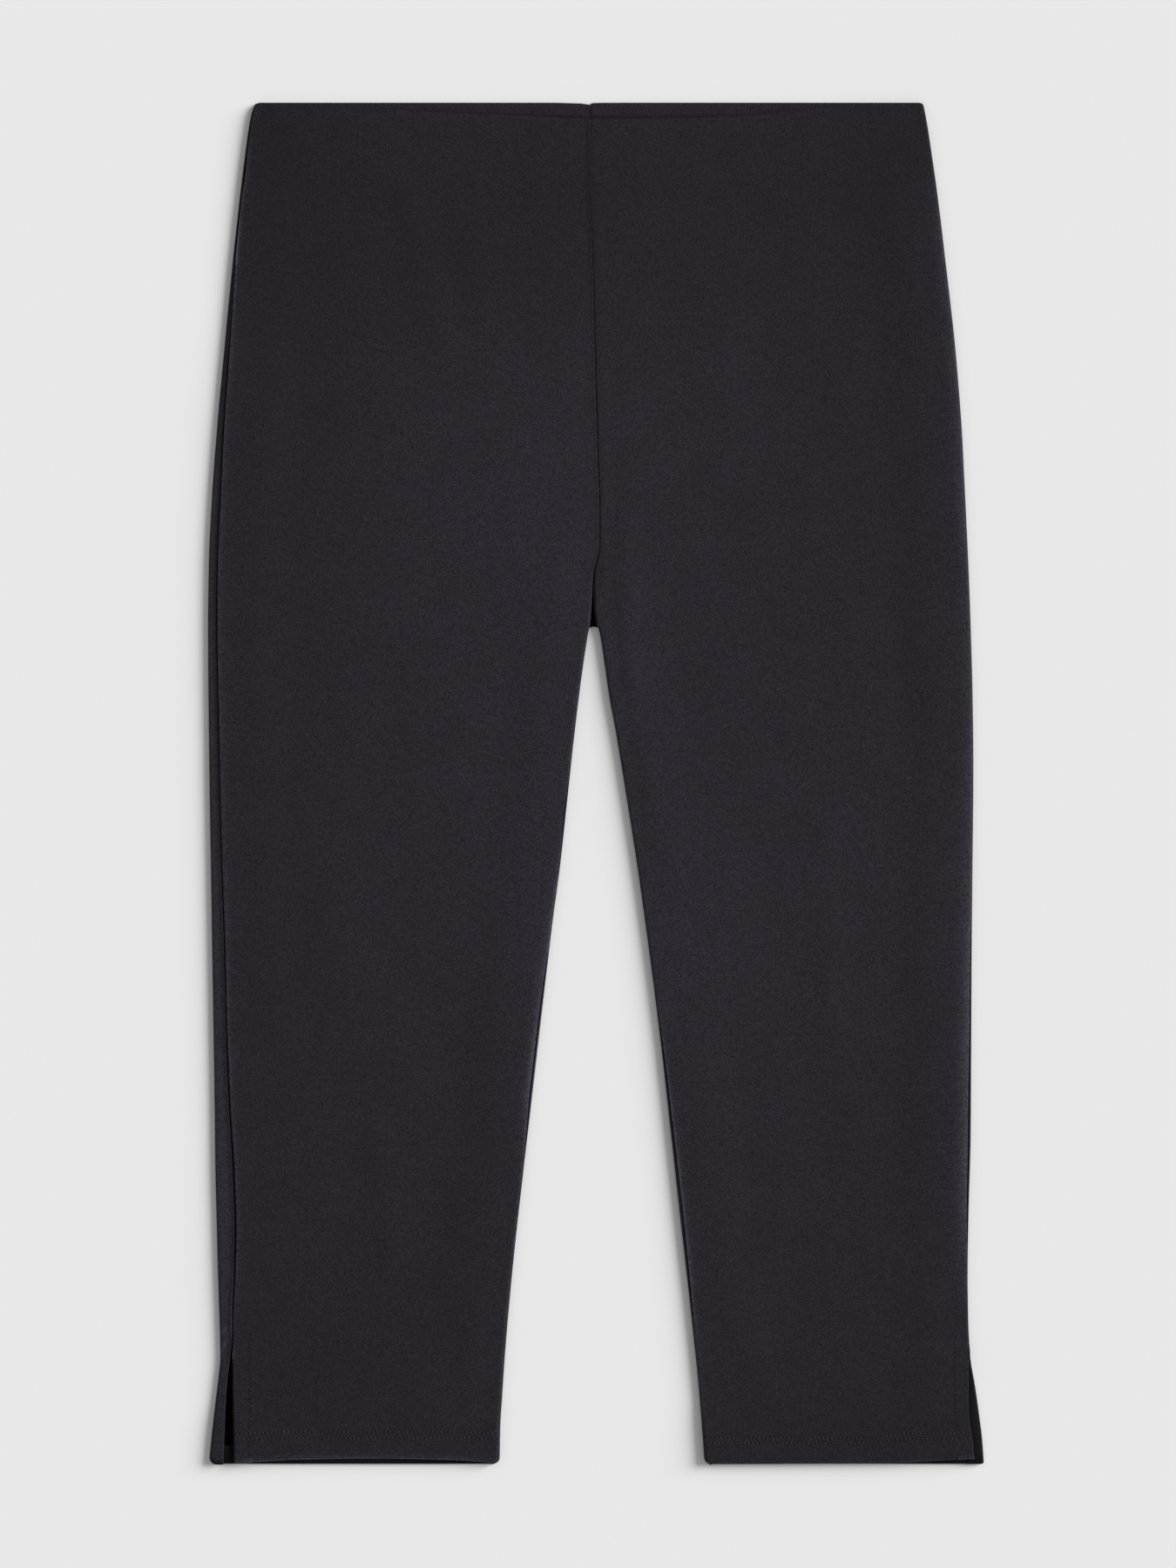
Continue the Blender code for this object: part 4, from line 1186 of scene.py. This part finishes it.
class CAPRI_OT_slit_stitches(Operator):
    """Sews the row of stitches beside each slit, and the bar at its top"""

    bl_idname = "capri.slit_stitches"
    bl_label = "Slit stitches"

    def execute(self, context):
        sizes = context.scene.capri_sizes
        pitch = sizes.stitch_pitch / MM
        thread = thread_material("darker_thread", sizes.darker_thread)
        for half in HALVES:
            places = []
            start, end = half.slit_row[0].down, half.slit_row[-1].down
            for k in range(math.ceil(start / pitch), math.floor(end / pitch)):
                down = (k + 0.5) * pitch
                x, ahead = between(half.slit_row, down).out, between(half.slit_row, down + 1).out
                places.append((x, down, (ahead - x, -1), 1.0))
            for k in range(BAR_STITCHES):
                x = half.slit_row[0].out + half.side * (BAR_START + BAR_PITCH * k)
                places.append((x, start + BAR_DROP, *BAR_STITCH))
            sew("slit_stitches", "front", half, places, thread)
        return {"FINISHED"}


class CAPRI_OT_seam_stitches(Operator):
    """Sews the short stitches across the centre back seam, inside the waist"""

    bl_idname = "capri.seam_stitches"
    bl_label = "Seam stitches"

    def execute(self, context):
        thread = thread_material("thread", context.scene.capri_sizes.thread_colour)
        for half in HALVES:
            x = BACK_WAIST[FACING_EDGES[half.side > 0]].out + half.side * SEAM_STITCH_OUT
            stops = [SEAM_STITCH_START + SEAM_STITCH_PITCH * k for k in range(SEAM_STITCHES)]
            sew("seam_stitches", "waist_facing", half, [(x, down, *SEAM_STITCH) for down in stops], thread)
        return {"FINISHED"}


class CAPRI_OT_stage(Operator):
    """Sets the pale floor, the soft light and the camera above the garment"""

    bl_idname = "capri.stage"
    bl_label = "Stage"

    def execute(self, context):
        sizes = context.scene.capri_sizes
        bpy.ops.object.select_all(action="DESELECT")
        bpy.ops.mesh.primitive_plane_add(size=FLOOR_SIZE, location=(0, 0, -FLOOR_DROP))
        floor = context.active_object
        floor.name = "floor"
        material, _, shader = new_material("floor")
        finish(shader, Base_Color=(*sizes.floor, 1), Roughness=1, Specular_IOR_Level=0)
        floor.data.materials.append(material)

        light = bpy.data.lights.new("soft_light", "SUN")
        light.energy = sizes.light
        light.angle = SUN_SPREAD
        lamp = bpy.data.objects.new("soft_light", light)
        lamp.rotation_euler = (0, math.pi / 2 - SUN_HEIGHT, SUN_TURN)
        context.scene.collection.objects.link(lamp)

        world = bpy.data.worlds.new("studio")
        world.use_nodes = True
        finish(world.node_tree.nodes["Background"], Color=(1, 1, 1, 1), Strength=SKY)
        context.scene.world = world

        camera = bpy.data.cameras.new("camera")
        camera.lens = LENS
        camera.sensor_width = SENSOR
        camera.clip_end = 50
        eye = bpy.data.objects.new("camera", camera)
        eye.location = (*VIEW_MIDDLE, VIEW * LENS / SENSOR + VIEW_LEVEL)
        context.scene.collection.objects.link(eye)
        context.scene.camera = eye
        context.scene.view_settings.view_transform = "Standard"
        return {"FINISHED"}


OPERATORS = (
    CAPRI_OT_back_panels,
    CAPRI_OT_waist_facings,
    CAPRI_OT_front_panels,
    CAPRI_OT_hem_stitches,
    CAPRI_OT_slit_stitches,
    CAPRI_OT_seam_stitches,
    CAPRI_OT_stage,
)


class CAPRI_PT_pieces(Panel):
    """Lists the garment's pieces"""

    bl_idname = "CAPRI_PT_pieces"
    bl_label = "Capri pants"
    bl_space_type = "VIEW_3D"
    bl_region_type = "UI"
    bl_category = "Capri pants"

    def draw(self, context):
        for name in CapriSizes.__annotations__:
            self.layout.prop(context.scene.capri_sizes, name)
        for operator in OPERATORS:
            self.layout.operator(operator.bl_idname)


def register():
    """Registers the classes and the sizes."""
    for item in (CapriSizes, *OPERATORS, CAPRI_PT_pieces):
        bpy.utils.register_class(item)
    Scene.capri_sizes = PointerProperty(type=CapriSizes)


def unregister():
    """Removes the classes and the sizes."""
    del Scene.capri_sizes
    for item in (CAPRI_PT_pieces, *reversed(OPERATORS), CapriSizes):
        bpy.utils.unregister_class(item)


def main():
    """Builds every piece in order."""
    register()
    for operator in OPERATORS:
        module, name = operator.bl_idname.split(".")
        getattr(getattr(bpy.ops, module), name)()


if __name__ == "__main__":
    main()
